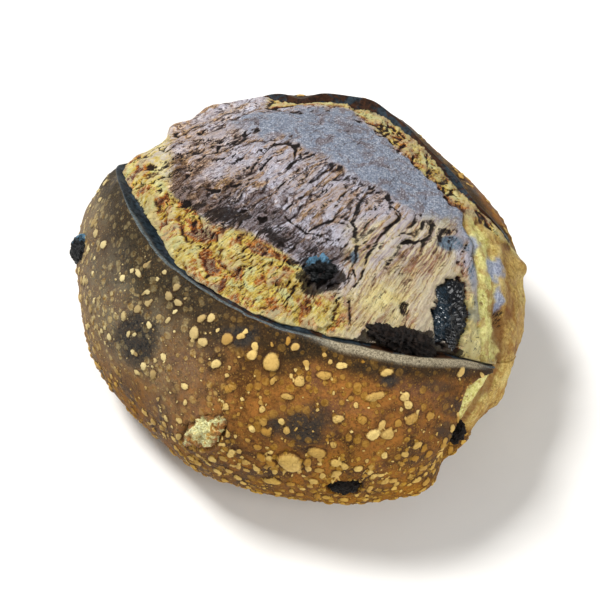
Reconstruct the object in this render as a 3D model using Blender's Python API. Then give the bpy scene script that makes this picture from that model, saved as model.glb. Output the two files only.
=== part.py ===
# Blue cheese and plum loaf: a round hearth loaf with one long curved score that has
# sprung open. The crust lifts in a thin ear along the front of the score, torn crumb and
# a smooth island of floured skin fill it, and burnt plums and a melted lump of cheese
# break through the surface.
#
# Frame: metres, +Z up, origin under the middle of the loaf on the surface it stands on.
# The score runs from the left end (-X) over the front of the crown to the right (+X).

import math

import bmesh
import bpy
import numpy as np

MM = 0.001

# Envelope: the smooth body of the loaf, seen from its own centre
CORE_HEIGHT = 38 * MM  # height of the widest ring above the table
CROWN_RISE = 78.5 * MM  # from the widest ring up to the crown
SOLE_DROP = 39.5 * MM  # from the widest ring down, cut flat at the table
UPPER_POWER = 2.3  # fullness of the shoulders
LOWER_POWER = 2.8  # fullness of the underside
SOLE_EDGE = math.radians(-38)  # latitude where the flat sole begins
CENTRE_X = 3.0 * MM  # centre of the envelope, with the box of the whole loaf over the origin
CENTRE_Y = -1.2 * MM

# One value every 15 degrees round the loaf, anticlockwise from the right (+X)
RIM_RADIUS = MM * np.array([
    111.5, 110, 107, 106.5, 113, 115.5, 114.5, 114, 116, 114.5, 117, 120,
    114, 110.5, 106.5, 104, 106, 106, 108, 113.5, 115.5, 112, 110, 112])
LIP_LATITUDE = np.radians([
    10, 29.5, 28.5, 26.5, 25.5, 26.5, 27.5, 20, 14, 11, 21, 33,
    39, 42.5, 45.5, 47.5, 48, 47, 45.5, 41, 35, 26, 12, 3])
EAR_FLARE = MM * np.array([
    0, -2, -2.8, -2.4, -1, 1, 1.5, 0, -0.5, -0.5, 2.5, 4,
    4, 3.6, 3.5, 3.5, 3.5, 3.5, 3.5, 3.5, 3.5, 3.5, 0.5, 0])
GAP_WIDTH = MM * np.array([
    1.5, 3, 4, 4, 3.5, 3.5, 3, 1.5, 1.5, 1.5, 1.5, 2.5,
    3.2, 2.5, 2, 2, 2, 2, 2, 2.5, 4, 4, 1.5, 1.5])
GAP_DEPTH = MM * np.array([
    0.8, 3.5, 5, 5, 5, 5, 4, 1.5, 0.8, 0.8, 1.5, 4,
    7.5, 6, 3, 2.5, 2.5, 2.5, 2.5, 4.5, 6, 4, 1, 0.8])
EDGE_SINK = MM * np.array([  # how far the crumb lies below the lip
    0, 2, 3, 3, 3, 3, 3, 1, 0, 0, 0.5, 3,
    3.2, 3, 2, 1.5, 1.5, 1.5, 2, 3, 3.2, 2, 0, 0])

LIP_WALL = 2.0 * MM  # thickness of the crust at the lip
EAR_BAND = math.radians(16)  # latitude below the lip over which the ear flares

# Torn surface inside the score, in a frame turned with the score
SCORE_ANGLE = math.radians(-28)
EDGE_REACH = 16 * MM
ISLAND_RISE = 2.4 * MM
ISLAND_FRONT = 25.5 * MM
ISLAND_SLOPE = 0.09
ISLAND_ALONG = MM * np.array([-60, -43, -31, -19, -4, 12, 27, 42, 65, 90])
ISLAND_BACK = MM * np.array([38, 47.3, 60, 65, 64.5, 61, 52.7, 45.2, 36.7, 20])
STRAND_PITCH = 15 * MM
STRAND_DEPTH = 0.8 * MM
FOLD_PITCH = 14 * MM  # upright folds in the burst at the right
FOLD_CREST = 90 * MM
FOLD_DEPTH = 1.5 * MM

# Knobs and dents of the surface: bearing, latitude, height (mm), radius (mm)
KNOBS = [
    (148, 24, 1.5, 8), (131, 23, 3.5, 7), (137, 20.5, -7.5, 6.5), (112, 26, 1.0, 10),
    (154, 19.5, 3.0, 8), (160, 14, 2.0, 11), (103, 25, 2.5, 12), (118, 23, 2.5, 8),
    (91, 28, -3.0, 7), (69, 25, 2.0, 9), (354.5, 12.0, -6.5, 5.5), (0.5, 14, 4.0, 5),
    (336, 8, 2.5, 12), (300, -8, 3.5, 12), (310, 0, -8.5, 12), (308, -8, -2.0, 7),
    (321, -5, -3.0, 6), (331, -3, 3.0, 9),
]

# Rings of the loft
COLUMNS = 84
SOLE_RINGS = 4
WALL_RINGS = 18
BLOOM_RINGS = 20

# Pieces in the crust: bearing, latitude, half length, half width, half depth,
# how far the middle lies under the surface (mm), and turn of the length (degrees)
PLUMS = {
    "plum_crown": (282.0, 65.5, 9.0, 7.5, 6.5, 3.5, 0),
    "plum_pocket": (326.0, 35.0, 17.5, 9.8, 8.0, 6.5, 33),
    "plum_seam": (303.9, 38.5, 16.5, 5.0, 5.0, 2.6, -42),
    "plum_side": (172.5, 14.0, 8.5, 7.0, 6.0, 1.0, 80),
    "plum_front": (279.6, 3.5, 7.5, 6.0, 5.0, 3.0, 10),
    "plum_notch": (309.5, 8.5, 6.5, 5.0, 4.5, 1.5, 60),
}
CHEESE = {"cheese_pocket": (243.0, 13.5, 16.0, 8.0, 6.0, 3.6, 48)}
HOLLOWS = {"hollow_crown": (282.5, 58.5, 8.0, 4.0, 7.0, 0.5, 0)}
PIECE_SEGMENTS = 20
PIECE_RINGS = 11
LUMP = 0.09  # unevenness of a piece, as a share of its size
FIT_GAP = 0.4 * MM  # clearance round each piece in its pocket

CRUST_COLOUR = (0.30, 0.13, 0.035, 1)
PLUM_COLOUR = (0.012, 0.011, 0.016, 1)
CHEESE_COLOUR = (0.50, 0.49, 0.24, 1)


def ring(values, theta):
    """Closed Catmull-Rom curve through evenly spaced values, read at bearing theta."""
    count = len(values)
    place = np.mod(theta / (2 * np.pi), 1.0) * count
    k = np.floor(place).astype(int)
    t = place - k
    a, b, c, d = (values[(k + step) % count] for step in (-1, 0, 1, 2))
    return b + 0.5 * t * (c - a + t * (2 * a - 5 * b + 4 * c - d + t * (3 * (b - c) + d - a)))


def soft(x):
    """Smooth step from 0 to 1 as x goes from 0 to 1."""
    t = np.clip(x, 0, 1)
    return t * t * (3 - 2 * t)


def direction(theta, phi):
    """Unit vector at a bearing and a latitude."""
    flat = np.cos(phi)
    return np.stack([flat * np.cos(theta), flat * np.sin(theta), np.sin(phi)], -1)


def envelope(theta, phi):
    """Distance from the centre to a superellipse of the rim radius and the rise or drop."""
    height = np.where(phi > 0, CROWN_RISE, SOLE_DROP)
    power = np.where(phi > 0, UPPER_POWER, LOWER_POWER)
    across = (np.cos(phi) / ring(RIM_RADIUS, theta)) ** power
    upward = (np.abs(np.sin(phi)) / height) ** power
    return (across + upward) ** (-1 / power)


def point(theta, phi, distance):
    """Point at a distance from the centre, kept on or above the table."""
    xyz = distance[..., None] * direction(theta, phi) + (CENTRE_X, CENTRE_Y, CORE_HEIGHT)
    xyz[..., 2] = np.maximum(xyz[..., 2], 0)
    return xyz


def knobs(theta, phi):
    """Sum of round Gaussian bumps and dents at their bearings and latitudes."""
    towards = direction(theta, phi)
    total = np.zeros(towards.shape[:-1])
    for bearing, latitude, height, radius in KNOBS:
        where = math.radians(bearing), math.radians(latitude)
        angle = np.arccos(np.clip(towards @ direction(*where), -1, 1))
        total += height * MM * np.exp(-((angle * envelope(*where) / (radius * MM)) ** 2))
    return total


def crust_offset(theta, phi):
    """How far the crust stands off the envelope: the ear flares as a square law."""
    rise = np.clip(1 + (phi - ring(LIP_LATITUDE, theta)) / EAR_BAND, 0, 1)
    return ring(EAR_FLARE, theta) * rise**2 + knobs(theta, phi)


def bloom_offset(theta, phi):
    """How far the torn surface stands off the envelope: a raised island of skin, strands
    across the score, upright folds at the right, and a sunken border inside the lip."""
    distance = envelope(theta, phi)
    x = distance * np.cos(phi) * np.cos(theta)
    y = distance * np.cos(phi) * np.sin(theta)
    along = x * math.cos(SCORE_ANGLE) + y * math.sin(SCORE_ANGLE)
    across = y * math.cos(SCORE_ANGLE) - x * math.sin(SCORE_ANGLE)
    from_lip = (phi - ring(LIP_LATITUDE, theta)) * distance
    front = ISLAND_FRONT - ISLAND_SLOPE * along
    back = np.interp(along, ISLAND_ALONG, ISLAND_BACK)
    island = soft((across - front) / (5 * MM) + 0.5) * soft((back - across) / (8 * MM) + 0.5)
    sink = np.exp(-((from_lip / EDGE_REACH) ** 2))
    torn = soft((front - across) / (10 * MM)) * soft(from_lip / EDGE_REACH)
    strands = torn * np.cos(2 * np.pi * along / STRAND_PITCH)
    burst = soft((x - 78 * MM) / (8 * MM)) * soft(-y / (10 * MM))
    folds = burst * np.cos(2 * np.pi * (x - FOLD_CREST) / FOLD_PITCH)
    relief = ISLAND_RISE * island - ring(EDGE_SINK, theta) * sink + STRAND_DEPTH * strands
    return relief + FOLD_DEPTH * folds + knobs(theta, phi)


def loaf_rings():
    """Rings of points from the sole up the crust, over the lip, down the gap inside it
    and up over the torn surface to the crown."""
    theta = np.linspace(0, 2 * np.pi, COLUMNS, endpoint=False)[None, :]
    lip = ring(LIP_LATITUDE, theta)
    up = np.linspace(0, 1, WALL_RINGS)[:, None]
    sole = np.linspace(-np.pi / 2, SOLE_EDGE, SOLE_RINGS + 2)[1:-1, None] + 0 * theta
    wall = SOLE_EDGE + (lip - SOLE_EDGE) * up
    phi = np.concatenate([sole, wall])
    rings = [point(theta + 0 * phi, phi, envelope(theta, phi) + crust_offset(theta, phi))]

    flare, gap, depth = (ring(v, theta) for v in (EAR_FLARE, GAP_WIDTH, GAP_DEPTH))
    lip_distance = envelope(theta, lip)
    over_lip = [
        (0.5 * LIP_WALL, flare + 0.3 * MM),
        (LIP_WALL, flare - 0.8 * MM),
        (LIP_WALL + 0.1 * gap, 0.5 * (flare - depth)),
        (LIP_WALL + 0.3 * gap, -depth),
        (LIP_WALL + 0.7 * gap, -depth),
    ]
    for inward, offset in over_lip:
        phi = lip + inward / lip_distance
        rings.append(point(theta, phi, envelope(theta, phi) + knobs(theta, lip) + offset))

    start = lip + (LIP_WALL + gap) / lip_distance
    across = np.linspace(0, 1, BLOOM_RINGS, endpoint=False)[:, None]
    phi = start + (np.pi / 2 - start) * across
    theta = theta + 0 * phi
    rings.append(point(theta, phi, envelope(theta, phi) + bloom_offset(theta, phi)))
    return np.concatenate(rings)


def closed_mesh(name, rings, bottom, top):
    """Closed mesh lofted through rings of points, with a pole at each end."""
    rows, columns = rings.shape[:2]
    verts = [tuple(p) for p in rings.reshape(-1, 3)] + [tuple(bottom), tuple(top)]
    low, high = rows * columns, rows * columns + 1
    faces = []
    for j in range(columns):
        k = (j + 1) % columns
        faces.append((low, k, j))
        faces.append((high, (rows - 1) * columns + j, (rows - 1) * columns + k))
        for i in range(rows - 1):
            a, b = i * columns + j, i * columns + k
            faces.append((a, b, b + columns))
            faces.append((a, b + columns, a + columns))
    mesh = bpy.data.meshes.new(name)
    mesh.from_pydata(verts, [], faces)
    mesh.validate()
    return mesh


def piece_mesh(name, bearing, latitude, long, wide, deep, sunk, turn):
    """A lumpy ellipsoid bent to follow the loaf: a sphere whose length and width run over
    the envelope and whose depth runs along the line to the centre."""
    bm = bmesh.new()
    bmesh.ops.create_uvsphere(bm, u_segments=PIECE_SEGMENTS, v_segments=PIECE_RINGS, radius=1)
    unit = np.array([v.co for v in bm.verts])
    phase = bearing
    lumps = 1 + LUMP * (
        np.sin(3.1 * unit[:, 0] + phase) * np.cos(4.3 * unit[:, 1] + 0.7 * phase)
        + 0.6 * np.sin(6.1 * unit[:, 1] - 5.2 * unit[:, 0] + phase))
    x, y, z = (unit * lumps[:, None] * np.array([long, wide, deep]) * MM).T
    angle = math.radians(turn)
    east = x * math.cos(angle) - y * math.sin(angle)
    north = x * math.sin(angle) + y * math.cos(angle)
    theta0, phi0 = math.radians(bearing), math.radians(latitude)
    distance = envelope(theta0, phi0)
    theta = theta0 + east / (distance * math.cos(phi0))
    phi = phi0 + north / distance
    placed = point(theta, phi, envelope(theta, phi) - sunk * MM + z)
    for vert, xyz in zip(bm.verts, placed):
        vert.co = xyz
    bmesh.ops.triangulate(bm, faces=bm.faces)
    bmesh.ops.recalc_face_normals(bm, faces=bm.faces)
    mesh = bpy.data.meshes.new(name)
    bm.to_mesh(mesh)
    bm.free()
    return mesh


def grown(mesh, by):
    """A copy of a mesh with each vertex moved out along its normal."""
    copy = mesh.copy()
    for vert, normal in zip(copy.vertices, [n.vector.copy() for n in mesh.vertex_normals]):
        vert.co += normal * by
    return copy


def material(name, colour, roughness):
    """A plain Principled material."""
    made = bpy.data.materials.new(name)
    made.use_nodes = True
    shader = made.node_tree.nodes["Principled BSDF"]
    shader.inputs["Base Color"].default_value = colour
    shader.inputs["Roughness"].default_value = roughness
    shader.inputs["Metallic"].default_value = 0.0
    return made


def add(name, mesh, collection, finish=None):
    """Put a smooth-shaded object with one material into a collection."""
    mesh.name = name
    mesh.shade_smooth()
    if finish is not None:
        mesh.materials.append(finish)
    made = bpy.data.objects.new(name, mesh)
    collection.objects.link(made)
    return made


def main():
    for old in list(bpy.data.objects):
        bpy.data.objects.remove(old)

    parts = bpy.data.collections.new("cheese_plum_loaf")
    cutters = bpy.data.collections.new("pocket_cutters")
    for collection in (parts, cutters):
        bpy.context.scene.collection.children.link(collection)

    crust = material("crust", CRUST_COLOUR, 0.7)
    plum = material("plum", PLUM_COLOUR, 0.3)
    cheese = material("cheese", CHEESE_COLOUR, 0.6)

    up, crown = np.zeros(1), np.full(1, np.pi / 2)
    top = point(up, crown, envelope(up, crown) + bloom_offset(up, crown))[0]
    loaf = add("loaf", closed_mesh("loaf", loaf_rings(), (CENTRE_X, CENTRE_Y, 0), top), parts, crust)

    pockets = {}
    for pieces, finish in ((PLUMS, plum), (CHEESE, cheese)):
        for name, sizes in pieces.items():
            piece = add(name, piece_mesh(name, *sizes), parts, finish)
            pockets["pocket_of_" + name] = grown(piece.data, FIT_GAP)
    for name, sizes in HOLLOWS.items():
        pockets[name] = piece_mesh(name, *sizes)

    for name, mesh in pockets.items():
        cutter = add(name, mesh, cutters)
        cutter.hide_render = True
        cutter.display_type = "WIRE"
        cut = loaf.modifiers.new(name, "BOOLEAN")
        cut.operation = "DIFFERENCE"
        cut.solver = "EXACT"
        cut.object = cutter


main()
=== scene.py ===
# %% [markdown]
# # Blue cheese and plum loaf
#
# A round hearth loaf whose one long curved score has sprung open. The crust lifts in a
# thin ear along the front of the score, a smooth island of floured skin and torn crumb
# fill the opening, and burnt plums and melted cheese break through. This script dresses
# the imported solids: every visible surface is a fine mesh worked out with numpy from the
# same few sizes as the solids, with its own procedural material.

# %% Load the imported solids
import math
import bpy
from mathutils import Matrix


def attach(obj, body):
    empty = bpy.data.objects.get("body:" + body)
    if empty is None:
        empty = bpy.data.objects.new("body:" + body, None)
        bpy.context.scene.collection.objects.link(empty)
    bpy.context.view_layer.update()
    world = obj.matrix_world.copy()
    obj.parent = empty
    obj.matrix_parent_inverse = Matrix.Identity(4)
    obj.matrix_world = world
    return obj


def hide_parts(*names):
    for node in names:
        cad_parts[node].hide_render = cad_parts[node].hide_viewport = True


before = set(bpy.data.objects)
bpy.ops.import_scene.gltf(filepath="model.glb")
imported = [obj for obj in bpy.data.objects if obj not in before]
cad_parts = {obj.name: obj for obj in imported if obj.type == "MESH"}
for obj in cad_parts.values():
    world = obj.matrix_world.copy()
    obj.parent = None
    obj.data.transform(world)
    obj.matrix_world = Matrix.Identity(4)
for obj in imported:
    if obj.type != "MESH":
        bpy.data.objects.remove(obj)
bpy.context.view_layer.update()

from types import SimpleNamespace

import bpy
import numpy as np

MM = 0.001

# %% [markdown]
# ## The camera first
#
# The camera looks down at the loaf from 55 degrees. Its lens and target were found by
# laying the loaf's smooth body over the outline in the photograph. The same numbers turn
# any point of the loaf into a place in the picture, which is how the marks of the baking
# find their spots on the crust later on. Marks are measured from the picture, but they
# are put on the surface that carries them, so they hold from every side.

# %% Camera
CAMERA_TILT = math.radians(55)
CAMERA_DISTANCE = 700 * MM
CAMERA_TARGET = np.array([1.0, -12.7, 55.0]) * MM
LENS = 85.26  # mm, on a sensor 36 mm wide
SENSOR = 36.0
PICTURE = 600  # pixels, both ways
FOCAL = LENS / SENSOR * PICTURE  # pixels

VIEW = np.array([0, math.cos(CAMERA_TILT), -math.sin(CAMERA_TILT)])
VIEW_UP = np.array([0, math.sin(CAMERA_TILT), math.cos(CAMERA_TILT)])
CAMERA_PLACE = CAMERA_TARGET - CAMERA_DISTANCE * VIEW

lens = bpy.data.cameras.new("camera")
lens.lens = LENS
lens.sensor_width = SENSOR
camera = bpy.data.objects.new("camera", lens)
camera.location = CAMERA_PLACE
camera.rotation_euler = (math.pi / 2 - CAMERA_TILT, 0, 0)
bpy.context.scene.collection.objects.link(camera)
bpy.context.scene.camera = camera


def seen(points):
    """Where points show in the picture, in pixels: the offset from the axis of the lens
    divided by the depth, times the focal length."""
    ray = points - CAMERA_PLACE
    scale = FOCAL / (ray @ VIEW)
    return PICTURE / 2 + ray[..., 0] * scale, PICTURE / 2 - (ray @ VIEW_UP) * scale


# %% [markdown]
# ## Sizes shared with the solids
#
# The solids and these meshes are two resolutions of one shape. The body is a superellipse
# of revolution whose radius changes with the bearing, the lip of the crust is a closed
# line of latitudes round it, and everything above that line is torn open. So the sizes
# below repeat the driving sizes of the solids, with the dark gap inside the lip a little
# more finely drawn.

# %% Body, lip and ear
CORE = np.array([3.0, -1.2, 38.0]) * MM  # centre of the body, at its widest ring
CROWN_RISE = 78.5 * MM
SOLE_DROP = 39.5 * MM
UPPER_POWER = 2.3
LOWER_POWER = 2.8
SOLE_EDGE = math.radians(-38)

# One value every 15 degrees round the loaf, anticlockwise from the right (+X)
RIM_RADIUS = MM * np.array([
    111.5, 110, 107, 106.5, 113, 115.5, 114.5, 114, 116, 114.5, 117, 120,
    114, 110.5, 106.5, 104, 106, 106, 108, 113.5, 115.5, 112, 110, 112])
LIP_LATITUDE = np.radians([
    10, 29.5, 28.5, 26.5, 25.5, 26.5, 27.5, 20, 14, 11, 21, 33,
    39, 42.5, 45.5, 47.5, 48, 47, 45.5, 41, 35, 26, 12, 3])
EAR_FLARE = MM * np.array([
    0, -2, -2.8, -2.4, -1, 1, 1.5, 0, -0.5, -0.5, 2, 3,
    3, 2, 1.4, 1.2, 1.2, 1.5, 2.2, 3, 3.5, 3.5, 0.5, 0])
GAP_WIDTH = MM * np.array([
    0.6, 3, 4, 4, 3.5, 3.5, 3, 1, 0.5, 0.4, 0.3, 0.7,
    2.6, 1.6, 0.8, 1.2, 1.2, 1.2, 1.5, 2.5, 4, 4, 1, 0.6])
GAP_DEPTH = MM * np.array([
    0.3, 3.5, 5, 5, 5, 5, 4, 1.5, 0.5, 0.4, 0.3, 1.0,
    5.5, 3.0, 0.8, 1.2, 1.2, 1.5, 2.2, 4.5, 6, 4, 0.5, 0.3])
EDGE_SINK = MM * np.array([
    0, 2, 3, 3, 3, 3, 3, 1, 0, 0, 0.5, 3,
    3.2, 2, 1, 0.5, 0.5, 0.8, 2, 3, 3.2, 2, 0, 0])
EDGE_REACH = 16 * MM
LIP_WALL = 2.0 * MM
EAR_BAND = math.radians(16)
SKIN_INSET = 0.8 * MM  # the fine meshes stay this far inside the solids' envelope

# Bearing, latitude (degrees), height and radius (mm) of the larger knobs and dents
KNOBS = [
    (148, 24, 1.5, 8), (131, 23, 3.5, 7), (137, 20.5, -7.5, 6.5), (112, 26, 1.0, 10),
    (154, 19.5, 3.0, 8), (160, 14, 2.0, 11), (103, 25, 2.5, 12), (118, 23, 2.5, 8),
    (91, 28, -3.0, 7), (69, 25, 2.0, 9), (354.5, 12.0, -6.5, 5.5), (0.5, 14, 4.0, 5),
    (336, 8, 2.5, 12), (300, -8, 3.5, 12), (310, 0, -8.5, 12), (308, -8, -2.0, 7),
    (321, -5, -3.0, 6), (331, -3, 3.0, 9),
]

# %% [markdown]
# ## Noise made with numpy
#
# Bread is uneven at every scale. Blender has noise for single points, but a fine mesh has
# a hundred thousand of them, so the noise here works on whole arrays. Each whole-number
# place in space gets a hashed value, and a smooth curve blends between the eight around
# a point. Sums of it at halving sizes give lumps, and cells give bubbles and grains.

# %% Noise
def lattice(i, j, k, seed):
    """Values from 0 to 1 that look random: a hash of whole-number places."""
    h = i * 374761393 + j * 668265263 + k * 1274126177 + seed * 974634777
    h = (h ^ (h >> 13)) * 1103515245
    h = h ^ (h >> 16)
    return (h & 0xFFFFF) / 0xFFFFF


def noise(p, size, seed=0):
    """Value noise from -1 to 1 at points p: hashed values at the corners of cubes of the
    given size, blended with the quintic 6t^5 - 15t^4 + 10t^3."""
    q = p / size
    corner = np.floor(q).astype(np.int64)
    f = q - corner
    f = f * f * f * (f * (f * 6 - 15) + 10)
    total = 0.0
    for dx in (0, 1):
        for dy in (0, 1):
            for dz in (0, 1):
                weight = np.abs(1 - dx - f[..., 0]) * np.abs(1 - dy - f[..., 1])
                weight = weight * np.abs(1 - dz - f[..., 2])
                i, j, k = (corner[..., n] + d for n, d in enumerate((dx, dy, dz)))
                total = total + weight * lattice(i, j, k, seed)
    return total * 2 - 1


def fractal(p, size, octaves, seed=0, gain=0.5):
    """Sum of noise at halving sizes, each weaker by the gain, scaled back to about 1."""
    parts = [gain**n * noise(p, size / 2**n, seed + 17 * n) for n in range(octaves)]
    return sum(parts) / sum(gain**n for n in range(octaves))


def cells(p, size, seed=0):
    """Distance to the nearest of one jittered point in each cube, in cube sizes."""
    q = p / size
    corner = np.floor(q).astype(np.int64)
    nearest = np.full(q.shape[:-1], 9.0)
    for step in np.ndindex(3, 3, 3):
        home = corner + np.array(step) - 1
        i, j, k = home[..., 0], home[..., 1], home[..., 2]
        jitter = np.stack([lattice(i, j, k, seed + n) for n in (1, 2, 3)], -1)
        nearest = np.minimum(nearest, np.linalg.norm(home + jitter - q, axis=-1))
    return nearest


def soft(x):
    """Smooth step from 0 to 1 as x goes from 0 to 1."""
    t = np.clip(x, 0, 1)
    return t * t * (3 - 2 * t)


def bump(x):
    """Bell curve exp(-x^2)."""
    return np.exp(-(x**2))


def between(x, start, end, rise, fall):
    """1 from start to end, with a smooth step as wide as rise or fall inside each end."""
    return soft((x - start) / rise) * soft((end - x) / fall)


# %% [markdown]
# ## The smooth body
#
# A point of the loaf is a bearing, a latitude and a distance from the core. The distance
# follows a superellipse, fuller than an ellipse, which gives a hearth loaf its shoulders.

# %% Body functions
def ring(values, theta):
    """Closed Catmull-Rom curve through evenly spaced values, read at bearing theta."""
    count = len(values)
    place = np.mod(theta / (2 * np.pi), 1.0) * count
    k = np.floor(place).astype(int)
    t = place - k
    a, b, c, d = (values[(k + step) % count] for step in (-1, 0, 1, 2))
    return b + 0.5 * t * (c - a + t * (2 * a - 5 * b + 4 * c - d + t * (3 * (b - c) + d - a)))


def direction(theta, phi):
    """Unit vector at a bearing and a latitude."""
    flat = np.cos(phi)
    return np.stack([flat * np.cos(theta), flat * np.sin(theta), np.sin(phi)], -1)


def envelope(theta, phi):
    """Distance from the core to a superellipse of the rim radius and the rise or drop."""
    height = np.where(phi > 0, CROWN_RISE, SOLE_DROP)
    power = np.where(phi > 0, UPPER_POWER, LOWER_POWER)
    across = (np.cos(phi) / ring(RIM_RADIUS, theta)) ** power
    upward = (np.abs(np.sin(phi)) / height) ** power
    return (across + upward) ** (-1 / power)


def point(theta, phi, distance):
    """Point at a distance from the core, kept on or above the table."""
    xyz = distance[..., None] * direction(theta, phi) + CORE
    xyz[..., 2] = np.maximum(xyz[..., 2], 0)
    return xyz


def spot(theta, phi, bearing, latitude):
    """Distances east and north of a spot on the body, measured along the surface."""
    where = math.radians(bearing), math.radians(latitude)
    reach = envelope(*where)
    turn = (theta - where[0] + np.pi) % (2 * np.pi) - np.pi
    return turn * math.cos(where[1]) * reach, (phi - where[1]) * reach


def knobs(theta, phi):
    """Sum of round Gaussian bumps and dents at their bearings and latitudes."""
    total = 0.0
    for bearing, latitude, height, radius in KNOBS:
        towards = direction(np.radians(bearing), np.radians(latitude))
        reach = envelope(math.radians(bearing), math.radians(latitude))
        angle = np.arccos(np.clip(direction(theta, phi) @ towards, -1, 1))
        total = total + height * MM * bump(angle * reach / (radius * MM))
    return total


def lip_line(theta):
    """Latitude of the lip: the shared line with a small wobble as a knife and heat leave."""
    circle = np.stack([np.cos(theta), np.sin(theta), 0 * theta], -1)
    return ring(LIP_LATITUDE, theta) + math.radians(0.5) * fractal(circle, 0.16, 3, 5)


# %% [markdown]
# ## Meshes from arrays
#
# A shape is a grid of points. One helper turns a grid into a closed mesh object at the
# origin, with any number of masks stored as attributes for the materials to read.

# %% Mesh helpers
def grid_faces(rows, columns, closed):
    """Quads between neighbours of a grid; a closed grid also joins its last column to
    its first."""
    i = np.arange(rows - 1)[:, None]
    j = np.arange(columns if closed else columns - 1)[None, :]
    k = (j + 1) % columns
    a, b = i * columns + j, i * columns + k
    return np.stack([a, b, b + columns, a + columns], -1).reshape(-1, 4)


def add_mesh(name, points, faces, masks, material):
    """Smooth mesh object at the origin, with each mask as a float attribute."""
    mesh = bpy.data.meshes.new(name)
    mesh.from_pydata(points, [], faces)
    for mask, values in masks.items():
        layer = mesh.attributes.new(mask, "FLOAT", "POINT")
        layer.data.foreach_set("value", np.ascontiguousarray(values, dtype=np.float32))
    mesh.shade_smooth()
    mesh.materials.append(material)
    piece = bpy.data.objects.new(name, mesh)
    bpy.context.scene.collection.objects.link(piece)
    triangles = sum(len(f) - 2 for f in faces)
    print(name, len(points), "points,", triangles, "triangles")
    return piece


def lofted(name, grid, low, high, masks, material):
    """Closed mesh through rings of points (rows), with a pole at each end."""
    rows, columns = grid.shape[:2]
    j = np.arange(columns)
    k = (j + 1) % columns
    last = (rows - 1) * columns
    bottom = np.stack([np.full(columns, rows * columns), k, j], -1)
    top = np.stack([np.full(columns, rows * columns + 1), last + j, last + k], -1)
    points = np.concatenate([grid.reshape(-1, 3), [low, high]])
    faces = grid_faces(rows, columns, True).tolist() + bottom.tolist() + top.tolist()
    ends = {m: np.append(v.reshape(-1), [v[0].mean(), v[-1].mean()]) for m, v in masks.items()}
    return add_mesh(name, points, faces, ends, material)


def blurred(field, radius):
    """Mean over a square of neighbours, taken twice, by sums along each axis."""
    for axis in (0, 1, 0, 1):
        pad = [(0, 0), (0, 0)]
        pad[axis] = (radius + 1, radius)
        total = np.cumsum(np.pad(field, pad, mode="edge"), axis=axis)
        size = field.shape[axis]
        upper = np.take(total, np.arange(2 * radius + 1, 2 * radius + 1 + size), axis=axis)
        lower = np.take(total, np.arange(size), axis=axis)
        field = (upper - lower) / (2 * radius + 1)
    return field


# %% [markdown]
# ## Writing materials
#
# Each finish is a small program of nodes. The helper below adds a node and wires it in
# one line, so a material reads like a recipe: masks first, then colours mixed over each
# other, then roughness and the fine relief. Colours are written as in a paint box, with
# sRGB hex values, and turned to the linear values that the renderer works in.

# %% Node helper
def paint(code):
    """Linear colour of an sRGB hex code."""
    channels = [int(code[n:n + 2], 16) / 255 for n in (0, 2, 4)]
    linear = [c / 12.92 if c <= 0.04045 else ((c + 0.055) / 1.055) ** 2.4 for c in channels]
    return (*linear, 1.0)


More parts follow.
